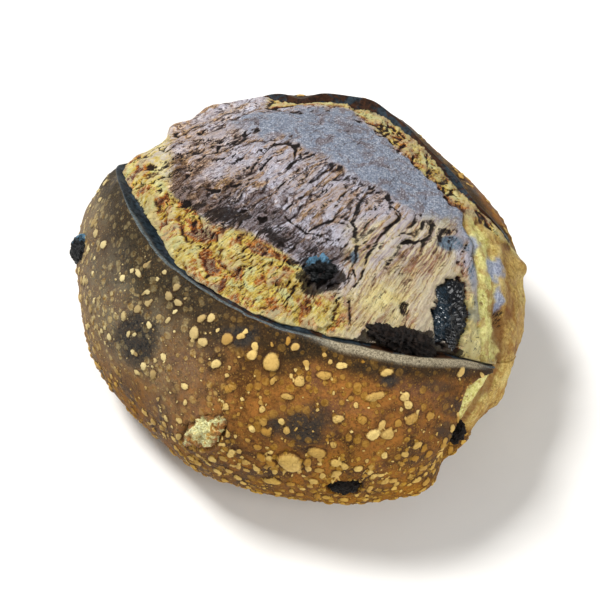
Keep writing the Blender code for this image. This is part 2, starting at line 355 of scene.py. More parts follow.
class Recipe:
    """Adds nodes to one tree; every method returns the output that it makes."""

    def __init__(self, tree):
        self.tree = tree

    def put(self, socket, value):
        """Wire an output to a socket, or set the socket's own value; text is a colour."""
        if isinstance(value, bpy.types.NodeSocket):
            self.tree.links.new(value, socket)
        elif value is not None:
            socket.default_value = paint(value) if isinstance(value, str) else value

    def add(self, kind, **settings):
        """A node of a kind, with its settings."""
        node = self.tree.nodes.new(kind)
        for name, value in settings.items():
            setattr(node, name, value)
        return node

    def math(self, operation, a, b=None, c=None):
        """Arithmetic on one to three values."""
        node = self.add("ShaderNodeMath", operation=operation)
        for socket, value in zip(node.inputs, (a, b, c)):
            self.put(socket, value)
        return node.outputs[0]

    def times(self, a, b):
        """Product."""
        return self.math("MULTIPLY", a, b)

    def plus(self, a, b):
        """Sum."""
        return self.math("ADD", a, b)

    def line(self, value, slope, start):
        """Value times slope plus start."""
        return self.math("MULTIPLY_ADD", value, slope, start)

    def fit(self, value, low, high, start=0.0, end=1.0):
        """Smooth step from start to end as the value goes from low to high."""
        node = self.add("ShaderNodeMapRange", interpolation_type="SMOOTHSTEP")
        for name, entry in zip(("Value", "From Min", "From Max", "To Min", "To Max"),
                               (value, low, high, start, end)):
            self.put(node.inputs[name], entry)
        return node.outputs["Result"]

    def mix(self, factor, a, b):
        """Colour b over colour a, as strong as the factor."""
        node = self.add("ShaderNodeMix", data_type="RGBA")
        self.put(node.inputs[0], factor)
        self.put(node.inputs[6], a)
        self.put(node.inputs[7], b)
        return node.outputs[2]

    def mask(self, name):
        """A mask stored on the mesh."""
        return self.add("ShaderNodeAttribute", attribute_name=name).outputs["Fac"]

    def place(self):
        """Object coordinates."""
        return self.add("ShaderNodeTexCoord").outputs["Object"]

    def stretched(self, names, scales):
        """A vector made of masks, each with its own scale."""
        node = self.add("ShaderNodeCombineXYZ")
        for socket, name, scale in zip(node.inputs, names, scales):
            self.put(socket, self.times(self.mask(name), scale))
        return node.outputs[0]

    def noise(self, vector, scale, detail=3.0, roughness=0.55, distortion=0.0):
        """Noise from 0 to 1; scale is features to the metre on Object coordinates."""
        node = self.add("ShaderNodeTexNoise")
        for name, value in (("Vector", vector), ("Scale", scale), ("Detail", detail),
                            ("Roughness", roughness), ("Distortion", distortion)):
            self.put(node.inputs[name], value)
        return node.outputs["Fac"]

    def grains(self, vector, scale):
        """Distance to the nearest cell point, and a random value for each cell."""
        node = self.add("ShaderNodeTexVoronoi")
        self.put(node.inputs["Vector"], vector)
        self.put(node.inputs["Scale"], scale)
        split = self.add("ShaderNodeSeparateColor")
        self.put(split.inputs[0], node.outputs["Color"])
        return node.outputs["Distance"], split.outputs[0]

    def group(self, tree, output, **inputs):
        """One output of a shared group, with its inputs set by name."""
        node = self.add("ShaderNodeGroup", node_tree=tree)
        for name, value in inputs.items():
            self.put(node.inputs[name], value)
        return node.outputs[output]

    def bump(self, height, distance):
        """A normal from a height, where 1 stands for the distance in metres."""
        node = self.add("ShaderNodeBump")
        node.inputs["Distance"].default_value = distance
        node.inputs["Strength"].default_value = 1.0
        self.put(node.inputs["Height"], height)
        return node.outputs["Normal"]


def new_material(name):
    """An empty material: its recipe and its Principled shader."""
    material = bpy.data.materials.new(name)
    material.use_nodes = True
    return material, Recipe(material.node_tree), material.node_tree.nodes["Principled BSDF"]


def new_group(name, inputs, outputs):
    """A node group with float or vector inputs and float outputs."""
    tree = bpy.data.node_groups.new(name, "ShaderNodeTree")
    for label, value in inputs.items():
        kind = "NodeSocketVector" if value is None else "NodeSocketFloat"
        socket = tree.interface.new_socket(name=label, in_out="INPUT", socket_type=kind)
        if value is not None:
            socket.default_value = value
    for label in outputs:
        tree.interface.new_socket(name=label, in_out="OUTPUT", socket_type="NodeSocketFloat")
    return tree, Recipe(tree), tree.nodes.new("NodeGroupInput"), tree.nodes.new("NodeGroupOutput")


# %% [markdown]
# ## Two effects that several finishes share
#
# Flour sticks to dough in specks, and bakes on. Crust and skin carry it everywhere, so it
# is one node group: cells of a given size, each with its own random radius, and a share
# of the cells switched off. The same trick at a larger size draws the small pale blisters.
# The second group is mottling: a noise read at places that another noise pushes about,
# for the cloudy browning that no single noise gives.

# %% Shared node groups
def specks_group():
    """Round specks: 1 inside, 0 outside, with ragged edges."""
    tree, r, given, out = new_group(
        "specks", {"Vector": None, "Scale": 600.0, "Share": 0.5, "Size": 0.4}, ["Mask"])
    distance, chance = r.grains(given.outputs["Vector"], given.outputs["Scale"])
    ragged = r.noise(given.outputs["Vector"], 2600.0, 2.0)
    ragged = r.line(ragged, 0.25, -0.125)
    distance = r.plus(distance, ragged)
    kept = r.math("LESS_THAN", chance, given.outputs["Share"])
    radius = r.times(given.outputs["Size"], r.fit(chance, 0.0, 0.6, 1.0, 0.45))
    inner = r.times(radius, 0.7)
    node = r.fit(distance, inner, radius, 1.0, 0.0)
    r.put(out.inputs["Mask"], r.times(node, kept))
    return tree


def mottle_group():
    """Cloudy browning from 0 to 1: one noise read at places pushed by another."""
    tree, r, given, out = new_group("mottle", {"Vector": None, "Scale": 60.0}, ["Cloud"])
    cloud = r.noise(given.outputs["Vector"], given.outputs["Scale"], 6.0, 0.62, 0.8)
    r.put(out.inputs["Cloud"], r.fit(cloud, 0.3, 0.7))
    return tree


SPECKS = specks_group()
MOTTLE = mottle_group()


def specks(r, vector, scale, share, size):
    """Place the specks group in a recipe."""
    return r.group(SPECKS, "Mask", Vector=vector, Scale=scale, Share=share, Size=size)


def mottle(r, vector, scale):
    """Place the mottle group in a recipe."""
    return r.group(MOTTLE, "Cloud", Vector=vector, Scale=scale)


# %% [markdown]
# ## The burst side
#
# At the right the loaf blew out below the tip of the ear. The dough there is young crumb
# in upright folds that bend with the outline and run from the opening down the side. It
# lies partly on the torn patch and partly on the crust's own mesh, so its place, its
# folds and its colours are worked out once and used by both.

# %% Burst side
# Line of the crust's edge and line of the main fold: heights in the picture, then places
BURST_EDGE_Y = [355, 366, 372, 378, 385, 395, 405, 415, 425, 435, 447, 462]
BURST_EDGE_X = [505, 494, 489, 476, 466, 462, 460, 458, 456, 450, 441, 430]
FOLD_Y = [225, 246, 280, 315, 345, 365, 385, 400, 415, 430, 450]
FOLD_X = [470, 482, 486, 488, 490, 489, 482, 474, 465, 456, 446]
FOLD_PITCH = 19.0  # pixels from crest to crest
# Line of the deep groove outside the main fold
GROOVE_Y = [300, 325, 352, 377, 401, 422]
GROOVE_X = [504, 505, 506, 496, 482, 470]
GROOVE_SPAN = (295, 434, 15, 8)  # heights where it starts and ends, and how softly
BELOW_SPAN = (352, 438, 6, 8)  # the same for the part of the burst below the lip
ABOVE_LOW = 366  # where the part above the lip ends


def burst_zone(bearing, latitude, smooth):
    """1 on the burst: right of the crust's edge in the picture, on the right of the
    loaf, and down to a ragged line below the widest ring."""
    x, y = seen(smooth)
    x = x + 2.0 * fractal(smooth, 9 * MM, 3, 21)
    turn = np.degrees((bearing - math.radians(330) + np.pi) % (2 * np.pi) - np.pi)
    ragged = 5 * fractal(smooth, 14 * MM, 3, 22)
    along = soft((turn + 32) / 3) * soft((38 + ragged - turn) / 5)
    upright = soft((np.degrees(latitude) + 20 + 2 * ragged) / 8)
    below = soft((x - np.interp(y, BURST_EDGE_Y, BURST_EDGE_X)) / 2.5)
    below = below * between(y, *BELOW_SPAN)
    above = soft((x - np.interp(y, FOLD_Y, FOLD_X) + 9) / 5) * soft((ABOVE_LOW - y) / 9)
    right = np.maximum(below, above)
    return right * along * upright


def burst_relief(smooth):
    """Height in mm: folds that follow the main fold's line, one deep groove, lumps and
    torn grain."""
    x, y = seen(smooth)
    x = x + 2.5 * fractal(smooth, 15 * MM, 3, 23)
    across = (x - np.interp(y, FOLD_Y, FOLD_X)) / FOLD_PITCH
    folds = np.cos(2 * np.pi * across)
    folds = folds * (0.7 + 0.6 * fractal(smooth, 20 * MM, 2, 26))
    groove = bump((x - np.interp(y, GROOVE_Y, GROOVE_X)) / 4.5)
    folds = folds - 1.7 * groove * between(y, *GROOVE_SPAN)
    grain = 1 - 2 * np.abs(fractal(smooth * [1, 0.55, 0.4], 3.6 * MM, 3, 24))
    return 0.9 * folds + 1.3 * fractal(smooth, 9 * MM, 4, 25) + 0.5 * grain, across


def burst_colour_group():
    """Young crumb: pale yellow-green along the main fold and ochre away from it, with red-brown
    painted shade in the hollows of the folds and a pale painted highlight on their crests.
    """
    tree, r, given, out = new_group(
        "burst_colour", {"Vector": None, "Across": 0.0, "Hollow": 0.0}, [])
    tree.interface.new_socket(name="Colour", in_out="OUTPUT", socket_type="NodeSocketColor")
    place = given.outputs["Vector"]
    cloud = mottle(r, place, 110.0)
    fine = mottle(r, place, 700.0)
    pale = r.mix(fine, "b0ac52", "e2dc98")
    ochre = r.mix(fine, "7c5620", "c29c50")
    colour = r.mix(r.fit(given.outputs["Across"], 0.35, 1.0, 0.0, 0.85), pale, ochre)
    colour = r.mix(r.fit(cloud, 0.45, 1.0, 0.0, 0.7), colour, "8a5a20")
    # Painted shade in the hollows of the folds, and a painted highlight on their crests.
    colour = r.mix(r.fit(given.outputs["Hollow"], 0.2, 0.9, 0.0, 0.75), colour, "6a3a18")
    colour = r.mix(r.fit(given.outputs["Hollow"], -0.1, -0.7, 0.0, 0.4), colour, "dcd08c")
    worn = r.fit(r.noise(place, 650.0, 6.0, 0.75, 0.5), 0.5, 0.64, 0.0, 0.6)
    colour = r.mix(worn, colour, r.mix(fine, "70481c", "a0763a"))
    fleck = r.fit(r.noise(place, 240.0, 6.0, 0.72, 0.6), 0.57, 0.64, 0.0, 0.8)
    colour = r.mix(fleck, colour, r.mix(cloud, "4a2010", "9a6a3a"))
    r.put(out.inputs["Colour"], colour)
    return tree


BURST_COLOUR = burst_colour_group()


def burst_colour(r, place):
    """Place the burst's colours in a recipe, with the masks of the mesh."""
    across, hollow_shade = r.mask("across"), r.mask("hollow_shade")
    return r.group(BURST_COLOUR, "Colour", Vector=place, Across=across, Hollow=hollow_shade)


# %% [markdown]
# ## Crust: the finish
#
# A dark-baked crust isn't one brown. It is olive-black under the ear, where the heat hits
# hardest, then a purple mahogany, and golden where it curves away to the sole. High at
# the left it is khaki under a haze of flour. Blisters are cream yellow, because their thin
# skin lifted off and dried instead of browning.

# %% Crust material
def browned(r, place, cloud, fine, grit):
    """Colour of the baked skin: brown and amber by the gold mask, then the haze, the dark
    band and the scorched patches over them, then lit grit."""
    fog = mottle(r, place, 30.0)
    brown = r.mix(cloud, "38200e", "9e662c")
    purple = r.mix(fine, "4c2e26", "805842")
    brown = r.mix(r.fit(fog, 0.4, 1.0, 0.0, 0.6), brown, purple)
    amber = r.mix(cloud, "362000", "945e00")
    colour = r.mix(r.mask("gold"), brown, amber)
    haze = r.times(r.mask("haze"), r.fit(cloud, 0.0, 0.9, 0.45, 1.0))
    colour = r.mix(haze, colour, r.mix(fine, "363a32", "82806c"))
    band = r.mix(fine, "0c0a06", "302818")
    colour = r.mix(r.mask("band"), colour, band)
    scorched = r.mix(fine, "0b0c0e", "423f3a")
    colour = r.mix(r.mask("scorch"), colour, scorched)
    colour = r.mix(r.fit(fine, 0.4, 1.0, 0.0, 0.6), colour, "2a1804")
    lit = r.times(r.fit(grit, 0.55, 1.0, 0.0, 0.4), r.mask("dust"))
    return r.mix(lit, colour, "a87c3a")


def blistered(r, place, colour, fine, small, tiny):
    """The colour with blisters over it: a dark rim, small and tiny specks, and a cream
    shell inside each drawn blister, khaki where the haze is."""
    ragged = r.line(r.noise(place, 1100.0, 2.0), 0.3, -0.15)
    inside = r.plus(r.mask("blister"), ragged)
    dome = r.fit(inside, -0.04, 0.26)
    rim = r.times(r.fit(inside, -0.28, -0.02), r.fit(inside, 0.0, 0.1, 1.0, 0.0))
    speck = r.mix(r.mask("gold"), "b0843a", "d4a436")
    speck = r.mix(r.mask("haze"), speck, "c0b688")
    speck = r.mix(fine, "74500c", speck)
    colour = r.mix(r.times(rim, 0.7), colour, "341c0a")
    colour = r.mix(r.times(small, 0.85), colour, speck)
    colour = r.mix(r.times(tiny, 0.75), colour, speck)
    shell = r.mix(r.mask("gold"), "e6ca80", "cca03a")
    shell = r.mix(r.mask("tone"), "a27426", shell)
    shell = r.mix(r.times(fine, 0.35), shell, "7c5a24")
    khaki = r.mix(r.mask("tone"), "8c8260", "c2b88e")
    shell = r.mix(r.times(r.mask("haze"), 0.75), shell, khaki)
    return r.mix(dome, colour, shell)


def crust_material():
    """Baked skin, blisters over it, then the torn edge, the inner side near black with painted
    shade of the gap, and the burst.
    """
    material, r, shader = new_material("crust")
    place = r.place()
    cloud = mottle(r, place, 70.0)
    fine = mottle(r, place, 460.0)
    grit = mottle(r, place, 1300.0)
    small = r.times(specks(r, place, 270.0, 0.65, 0.66), r.mask("dust"))
    tiny = r.times(specks(r, place, 900.0, 0.35, 0.45), r.mask("dust"))
    colour = browned(r, place, cloud, fine, grit)
    colour = blistered(r, place, colour, fine, small, tiny)

    slate = r.mix(grit, "1a1e1f", "646d6e")
    tan = r.mix(grit, "4e4636", "a89c82")
    colour = r.mix(r.mask("edge"), colour, r.mix(r.mask("tan"), slate, tan))
    # Painted shade: the inner side of the lip, down in the gap, and the dents that hold pieces are near
    # black, with toasted brown patches of the crust's own colour.
    inner = r.mix(fine, "06090c", "2a363e")
    toasted = r.times(r.fit(cloud, 0.4, 0.6), r.math("SUBTRACT", 1.0, r.mask("haze")))
    inner = r.mix(toasted, inner, r.mix(fine, "0c0705", "3e2412"))
    colour = r.mix(r.mask("inner"), colour, inner)
    colour = r.mix(r.mask("burst"), colour, burst_colour(r, place))
    r.put(shader.inputs["Base Color"], colour)
    r.put(shader.inputs["Roughness"], r.fit(cloud, 0.0, 1.0, 0.48, 0.7))
    shader.inputs["Specular IOR Level"].default_value = 0.1
    height = r.line(r.noise(place, 1500.0, 4.0, 0.65), 0.5, small)
    height = r.plus(height, r.times(tiny, 0.4))
    r.put(shader.inputs["Normal"], r.bump(height, 0.4 * MM))
    return material


CRUST = crust_material()

# %% [markdown]
# ## Crust: the shape
#
# The crust is one skin: up from the sole, over the ear, down its inner side and under the
# crumb. It is a grid of bearings and rows. The bearings are closer together at the front,
# where the picture looks, and each row is a latitude until the lip, and a short profile
# carried over the lip after that.

# %% Crust grid
CRUST_COLUMNS = 694
SOLE_ROWS = 10
WALL_ROWS = 114
LIP_ROWS = 18
FRONT_SHARE = 1.5  # how much closer the columns are at the front
FRONT_MIDDLE = math.radians(245)
FRONT_REACH = math.radians(95)


def crust_bearings():
    """Bearings whose spacing shrinks towards the front: the running sum of a density."""
    fine = np.linspace(0, 2 * np.pi, 3601)
    away = np.abs((fine - FRONT_MIDDLE + np.pi) % (2 * np.pi) - np.pi)
    density = 1 + FRONT_SHARE * soft((FRONT_REACH - away) / math.radians(25) + 0.5)
    run = np.concatenate([[0], np.cumsum((density[1:] + density[:-1]) / 2)])
    return np.interp(np.linspace(0, run[-1], CRUST_COLUMNS, endpoint=False), run, fine)


def ear_width(theta):
    """1 where the ear broadens to a pale flat band, on its way to the tip at the right."""
    turn = np.degrees((theta - math.radians(300) + np.pi) % (2 * np.pi) - np.pi)
    return soft((turn + 35) / 20) * soft((26 - turn) / 6)


def crust_rows(theta):
    """Latitude and standing-off of each row, and how far each lies past the lip."""
    lip = lip_line(theta)
    reach = envelope(theta, lip)
    flare, gap, depth = (ring(v, theta) for v in (EAR_FLARE, GAP_WIDTH, GAP_DEPTH))
    sole = np.linspace(-np.pi / 2, SOLE_EDGE, SOLE_ROWS + 1)[1:, None] + 0 * theta
    up = np.linspace(0, 1, WALL_ROWS + 1)[1:, None]
    wall = SOLE_EDGE + (lip - SOLE_EDGE) * up
    phi = np.concatenate([sole, wall])
    rise = np.clip(1 + (phi - lip) / EAR_BAND, 0, 1)
    off = flare * rise**2

    circle = np.stack([np.cos(theta), np.sin(theta), 0 * theta], -1)
    wall_at = LIP_WALL * (0.5 + 0.2 * fractal(circle, 0.2, 3, 9) + 0.9 * ear_width(theta))
    marks = np.array([0, 0.12, 0.25, 0.38, 0.55, 0.8, 1.0])
    inward = [0, 0.4 * wall_at, 0.9 * wall_at, wall_at + 0.02 * gap,
              wall_at + 0.08 * gap, wall_at + 0.25 * gap, wall_at + 1.3 * gap]
    offset = [flare, flare + 0.35 * MM, flare - 0.1 * MM, flare - 1.3 * MM,
              0.3 * flare - 0.7 * depth, -depth, -depth - 0.6 * MM]
    steps = np.linspace(0, 1, LIP_ROWS + 1)[1:]
    over = [[np.interp(s, marks, [np.broadcast_to(v, theta.shape)[n] for v in path])
             for n in range(len(theta))] for path in (inward, offset) for s in steps]
    over = np.array(over).reshape(2, LIP_ROWS, len(theta))
    phi = np.concatenate([phi, lip + over[0] / reach])
    off = np.concatenate([off, over[1]])
    past = np.concatenate([np.zeros(SOLE_ROWS + WALL_ROWS), steps])
    return phi, off, past


theta = crust_bearings()
crust_phi, crust_off, past_lip = crust_rows(theta)
crust_theta = theta + 0 * crust_phi
print("crust grid", crust_phi.shape)

# %% [markdown]
# ## Blisters
#
# Blisters are small gas bubbles under the skin. The largest are placed where the picture
# shows them. The rest are drawn at random with a fixed seed, more of them low at the
# right, and each is a dome with an uneven outline. The mask that draws their colour is a
# distance, so its edge stays sharp however coarse the mesh is.

# %% Blister places
rng = np.random.default_rng(11)

# Places in the picture (pixels) and half sizes (pixels) of the largest blisters
LARGE_BLISTERS = [
    (271.5, 362, 8.5, 9.5), (252, 355, 5, 6), (324, 375, 8, 4.5), (299.5, 381, 5.5, 5.5),
    (227, 339, 6, 7), (193.5, 333, 5.5, 8.5), (169, 296, 5.5, 6.5), (139, 273, 6, 7),
    (290, 463.5, 12, 9.5), (317, 453, 8, 6), (375, 396.5, 9, 5), (374, 435.5, 7.5, 5.5),
    (388, 435, 6, 6), (412, 419.5, 7, 5.5), (385, 371, 7, 4), (405, 396.5, 5, 5),
    (341, 364.5, 5, 4), (396.5, 439, 4.5, 6), (336, 463, 6, 4), (151.5, 375, 4, 6),
    (147.5, 292, 3.5, 5), (147, 303.5, 3.5, 5), (158, 317, 3, 5), (183.5, 387, 4.5, 4),
    (228, 389, 5, 3.5), (272, 482, 9, 3), (338, 419.5, 6, 4), (287, 396.5, 6, 3.5),
]
BLISTER_TRIES = 11000


def sighted(x, y):
    """Bearing and latitude of the body at a place in the picture: march along the sight
    line until it first comes inside the body."""
    right, up = (x - PICTURE / 2) / FOCAL, (PICTURE / 2 - y) / FOCAL
    aim = VIEW + np.array([1, 0, 0]) * right + VIEW_UP * up
    aim = aim / np.linalg.norm(aim)
    path = CAMERA_PLACE - CORE + np.linspace(0.5, 0.95, 3000)[:, None] * aim
    away = np.linalg.norm(path, axis=1)
    bearing, latitude = np.arctan2(path[:, 1], path[:, 0]), np.arcsin(path[:, 2] / away)
    depth = away - envelope(bearing, latitude)
    first = np.argmax(depth < 0) if (depth < 0).any() else np.argmin(depth)
    return bearing[first] % (2 * np.pi), latitude[first]


def blister_list():
    """Bearing, latitude, half length, half width and turn of every blister."""
    found = []
    for x, y, wide, tall in LARGE_BLISTERS:
        bearing, latitude = sighted(x, y)
        high = abs(sighted(x, y - tall)[1] - sighted(x, y + tall)[1]) * envelope(bearing, latitude)
        found.append((bearing, latitude, wide * 0.5 * MM, 0.5 * high, 0.0))
    bearing = rng.uniform(0, 2 * np.pi, BLISTER_TRIES)
    latitude = np.arcsin(rng.uniform(math.sin(math.radians(-28)), 0.72, BLISTER_TRIES))
    size = (0.55 + 1.9 * rng.random(BLISTER_TRIES) ** 3.0) * MM
    shape = rng.uniform(0.82, 1.25, BLISTER_TRIES)
    turn = rng.uniform(0, np.pi, BLISTER_TRIES)
    lip = lip_line(bearing)
    right = soft((np.cos(bearing - math.radians(300)) + 0.2) / 1.2)
    low = soft((math.radians(35) - latitude) / math.radians(45))
    patchy = 0.5 + 0.5 * fractal(direction(bearing, latitude), 0.25, 2, 31)
    chance = (0.12 + 0.35 * low + 0.6 * right * low) * (0.35 + 1.3 * patchy)
    keep = (latitude < lip - 0.03) & (rng.random(BLISTER_TRIES) < chance)
    extra = np.stack([bearing, latitude, size * shape, size / shape, turn], -1)[keep]
    every = np.concatenate([np.array(found), extra[np.argsort(-extra[:, 2])]])
    place = point(every[:, 0], every[:, 1], envelope(every[:, 0], every[:, 1]))
    square = (place**2).sum(1)
    apart = np.sqrt(np.maximum(square[:, None] + square - 2 * place @ place.T, 0))
    size = every[:, 2:4].max(1)
    clear = apart > 0.85 * (size[:, None] + size) - 0.3 * MM
    return every[(clear | np.triu(np.ones(clear.shape, bool))).all(1)]


def blister_field(blisters):
    """For every grid point, the largest of 1 - d over the blisters, where d is the
    distance over the blister's uneven radius; the height of the domes; and a tone that
    is the same all over one blister."""
    inside = np.full(crust_phi.shape, -0.9)
    height, tone = np.zeros(crust_phi.shape), np.zeros(crust_phi.shape)
    tones = rng.random(len(blisters)) ** 0.8
    for (bearing, latitude, long, wide, turn), shade in zip(blisters, tones):
        reach = envelope(bearing, latitude)
        east = ((theta - bearing + np.pi) % (2 * np.pi) - np.pi) * math.cos(latitude) * reach
        size = max(long, wide)
        columns = np.flatnonzero(np.abs(east) < 1.8 * size)
        if len(columns) == 0:
            continue
        north = (crust_phi[:, columns[len(columns) // 2]] - latitude) * reach
        rows = np.flatnonzero(np.abs(north) < 2 * size)
        rows = rows[rows < SOLE_ROWS + WALL_ROWS]
        block = np.ix_(rows, columns)
        x = east[columns][None, :]
        y = (crust_phi[block] - latitude) * reach
        a = x * math.cos(turn) + y * math.sin(turn)
        b = y * math.cos(turn) - x * math.sin(turn)
        d = np.hypot(a / long, b / wide)
        swing = np.arctan2(b, a)
        d = d / (1 + 0.09 * np.sin(2 * swing + 40 * bearing) + 0.06 * np.sin(3 * swing + 90 * latitude))
        tone[block] = np.where(1 - d > inside[block], shade, tone[block])
        inside[block] = np.maximum(inside[block], 1 - d)
        dome = 0.55 * math.sqrt(size / MM) * MM * np.sqrt(np.clip(1 - d**2, 0, 1))
        moat = 0.1 * size * bump((d - 1.15) / 0.2)
        height[block] = np.where(dome > 0, np.maximum(height[block], dome), height[block] - moat)
    return inside, height, tone


blisters = blister_list()
blister_inside, blister_height, blister_tone = blister_field(blisters)
print(len(blisters), "blisters")

# %% [markdown]
# ## Marks of the baking
#
# Scorched patches, the olive band below the ear and the golden zones are masks worked out
# on the same grid. Round marks are given by where the picture shows them, and zones by
# the latitude and the distance below the lip. Dents hold the pieces that sit low at the
# front, with a torn rim standing up round each.

# %% Crust masks and relief
# Scorched patches: place in the picture, half width and half height (pixels), strength
SCORCHED = [
    (134, 336, 24, 27, 1.0), (300, 425, 34, 24, 0.95), (236, 336, 26, 11, 0.9), (389, 380, 13, 8, 0.9),
    (437, 386, 15, 7, 0.6), (452, 408, 11, 13, 0.55), (449, 432, 13, 11, 0.8),
    (110, 262, 22, 30, 0.45), (420, 455, 20, 12, 0.35), (246, 478, 30, 5, 0.35),
]
OLIVE_PATCH = (452, 388, 34, 17)  # dark patch below the tip of the ear
HONEY_PATCH = (116, 405, 36, 34)  # golden patch low at the left
LEFT_END = 90  # where the golden left side starts to fade
HAZE_MIDDLE = math.radians(185)  # bearing of the grey-olive zone

# How far the dark band reaches below the lip (mm), by place across the picture
BAND_X = [120, 270, 310, 480]
BAND_REACH = [25, 24, 11, 12]
# Dents in the crust: bearing, latitude, half length, half width (mm), turn, depth (mm), strength of
# painted shade in the dent
DENTS = [
    (279.6, 3.5, 8.0, 5.5, 10, 6.0, 1.0), (243.0, 13.5, 16.5, 7.5, 54, 2.0, 0.3),
    (307.5, 7.0, 6.0, 5.0, 60, 2.5, 1.0),
]


def picture_blob(x, y, middle_x, middle_y, half_x, half_y):
    """Distance from a mark in the picture, 1 at its edge."""
    return np.hypot((x - middle_x) / half_x, (y - middle_y) / half_y)


def ear_step(smooth):
    """Swelling of the crust beside the burst, so that its edge stands over the crumb."""
    x, y = seen(smooth)
    inward = np.interp(y, BURST_EDGE_Y, BURST_EDGE_X) - x
    return bump(inward / 9) * soft((y - 362) / 12) * soft((458 - y) / 15)


def dents(smooth):
    """Height in metres of the dents, and the torn mask that paints shade into them: an uneven
    ellipse pressed in, with a rim standing up just outside it."""
    jag = 0.16 * fractal(smooth, 4 * MM, 3, 4)
    height, torn = np.zeros(crust_phi.shape), np.zeros(crust_phi.shape)
    for bearing, latitude, long, wide, turn, depth, dark in DENTS:
        east, north = spot(crust_theta, crust_phi, bearing, latitude)
        angle = math.radians(turn)
        a = east * math.cos(angle) + north * math.sin(angle)
        b = north * math.cos(angle) - east * math.sin(angle)
        d = np.hypot(a / (long * MM), b / (wide * MM)) + jag
        hole = soft((1.08 - d) / 0.25)
        height = height - depth * MM * hole + 0.9 * MM * bump((d - 1.16) / 0.14)
        # Painted shade inside the dent.
        torn = np.maximum(torn, dark * hole)
    return height, torn


def scorch_mask(smooth, x, y, facing):
    """Scorched patches: blobs with a ragged edge at the front, clouds of noise behind."""
    scorch = np.zeros(crust_phi.shape)
    ragged = 0.6 * fractal(smooth, 12 * MM, 5, 6, 0.6)
    for *blob, strength in SCORCHED:
        edge = soft((1.3 - picture_blob(x, y, *blob) - ragged) / 0.8)
        scorch = np.maximum(scorch, strength * edge * facing)
    clouds = soft(0.4 + 1.9 * fractal(smooth, 30 * MM, 3, 8) - 1.0) * (1 - facing)
    return np.maximum(scorch, 0.7 * clouds)


def browning(x, y, below, facing, lumps, uneven):
    """Masks of the olive band below the lip, the gold towards the sole and in one patch,
    and the grey haze high at the left, with their edges pushed about by noise."""
    reach = np.interp(x, BAND_X, BAND_REACH) * MM
    band = soft(1.3 - below / reach + 0.35 * lumps + 0.25 * uneven)
    olive = soft(0.75 + 0.4 * lumps - picture_blob(x, y, *OLIVE_PATCH)) * facing
    low = soft((math.radians(20) - crust_phi) / math.radians(34) + 0.35 * lumps + 0.15 * uneven)
    side = soft((LEFT_END - x) / 25 + 0.3 * lumps) * facing * 0.7
    honey = soft(1.5 + 0.5 * lumps - picture_blob(x, y, *HONEY_PATCH)) * facing
    haze = soft(np.cos(crust_theta - HAZE_MIDDLE) * 2.0 - 0.8 + 0.3 * lumps)
    haze = 0.85 * haze * soft((crust_phi + 0.1) / 0.45) * (1 - honey)
    return np.maximum(band, olive), np.max([low, side, honey], axis=0), haze


def crust_relief_and_masks():
    """Relief of the crust in metres, and its masks: waves at three sizes, blisters and
    dents, given over to the folds of the burst where that zone is."""
    smooth = point(crust_theta, crust_phi, envelope(crust_theta, crust_phi))
    x, y = seen(smooth)
    facing = soft((np.cos(crust_theta - FRONT_MIDDLE) + 0.35) / 0.3)
    below = (lip_line(theta) - crust_phi) * envelope(crust_theta, crust_phi)
    past = past_lip[:, None] + 0 * crust_phi
    outer = past == 0
    lumps = fractal(smooth, 34 * MM, 3, 1)
    uneven = fractal(smooth, 9 * MM, 3, 2)
    fine = fractal(smooth, 2.6 * MM, 2, 3)

    relief = 0.9 * MM * lumps + 0.28 * MM * uneven + 0.07 * MM * fine
    relief = np.where(outer, relief, relief * 0.35)
    dented, torn = dents(smooth)
    relief = relief * soft((crust_phi + 0.75) / 0.15) + blister_height + dented
    zone = burst_zone(crust_theta, crust_phi, smooth)
    folds, across = burst_relief(smooth)
    whole = 1 - zone
    relief = relief * whole + (folds - 1.6) * MM * zone + 1.5 * MM * ear_step(smooth) * whole

    scorch = scorch_mask(smooth, x, y, facing)
    band, gold, haze = browning(x, y, below, facing, lumps, uneven)
    dust = soft(0.75 + 0.6 * uneven + 0.5 * lumps) * outer
    dust = dust * (1 - 0.7 * band) * (1 - 0.7 * scorch)
    behind = soft(np.sin(crust_theta) * 4)
    edge = soft(past / 0.1) * soft((0.42 - 0.16 * behind - past) / 0.12)
    edge = np.maximum(edge, ear_width(crust_theta) * soft((1.6 * MM - below) / (1.2 * MM)))
    # The inner side of the lip, which the finish paints with the shade of the gap.
    inner = soft((past - 0.3 + 0.22 * behind) / 0.12)
    masks = {
        "scorch": scorch * outer, "band": 0.92 * band * outer * (1 - torn), "gold": gold,
        "haze": haze, "dust": dust * (1 - edge), "edge": edge * whole,
        "inner": np.maximum(inner, 0.9 * torn) * whole, "tan": ear_width(crust_theta),
        "blister": np.where(outer, blister_inside, -0.9) - torn - 2 * zone, "tone": blister_tone,
        # Fold depth on the burst, which drives its painted shade and painted highlight.
        "burst": zone, "across": np.abs(across), "hollow_shade": 0.3 - 0.6 * folds,
    }
    return relief, masks


crust_relief, crust_masks = crust_relief_and_masks()
crust_reach = envelope(crust_theta, crust_phi) + crust_off + knobs(crust_theta, crust_phi)
crust_grid = point(crust_theta, crust_phi, crust_reach + crust_relief - SKIN_INSET)
crust = lofted("crust", crust_grid, (CORE[0], CORE[1], 0), (CORE[0], CORE[1], 50 * MM),
               crust_masks, CRUST)
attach(crust, "root")
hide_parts("loaf")
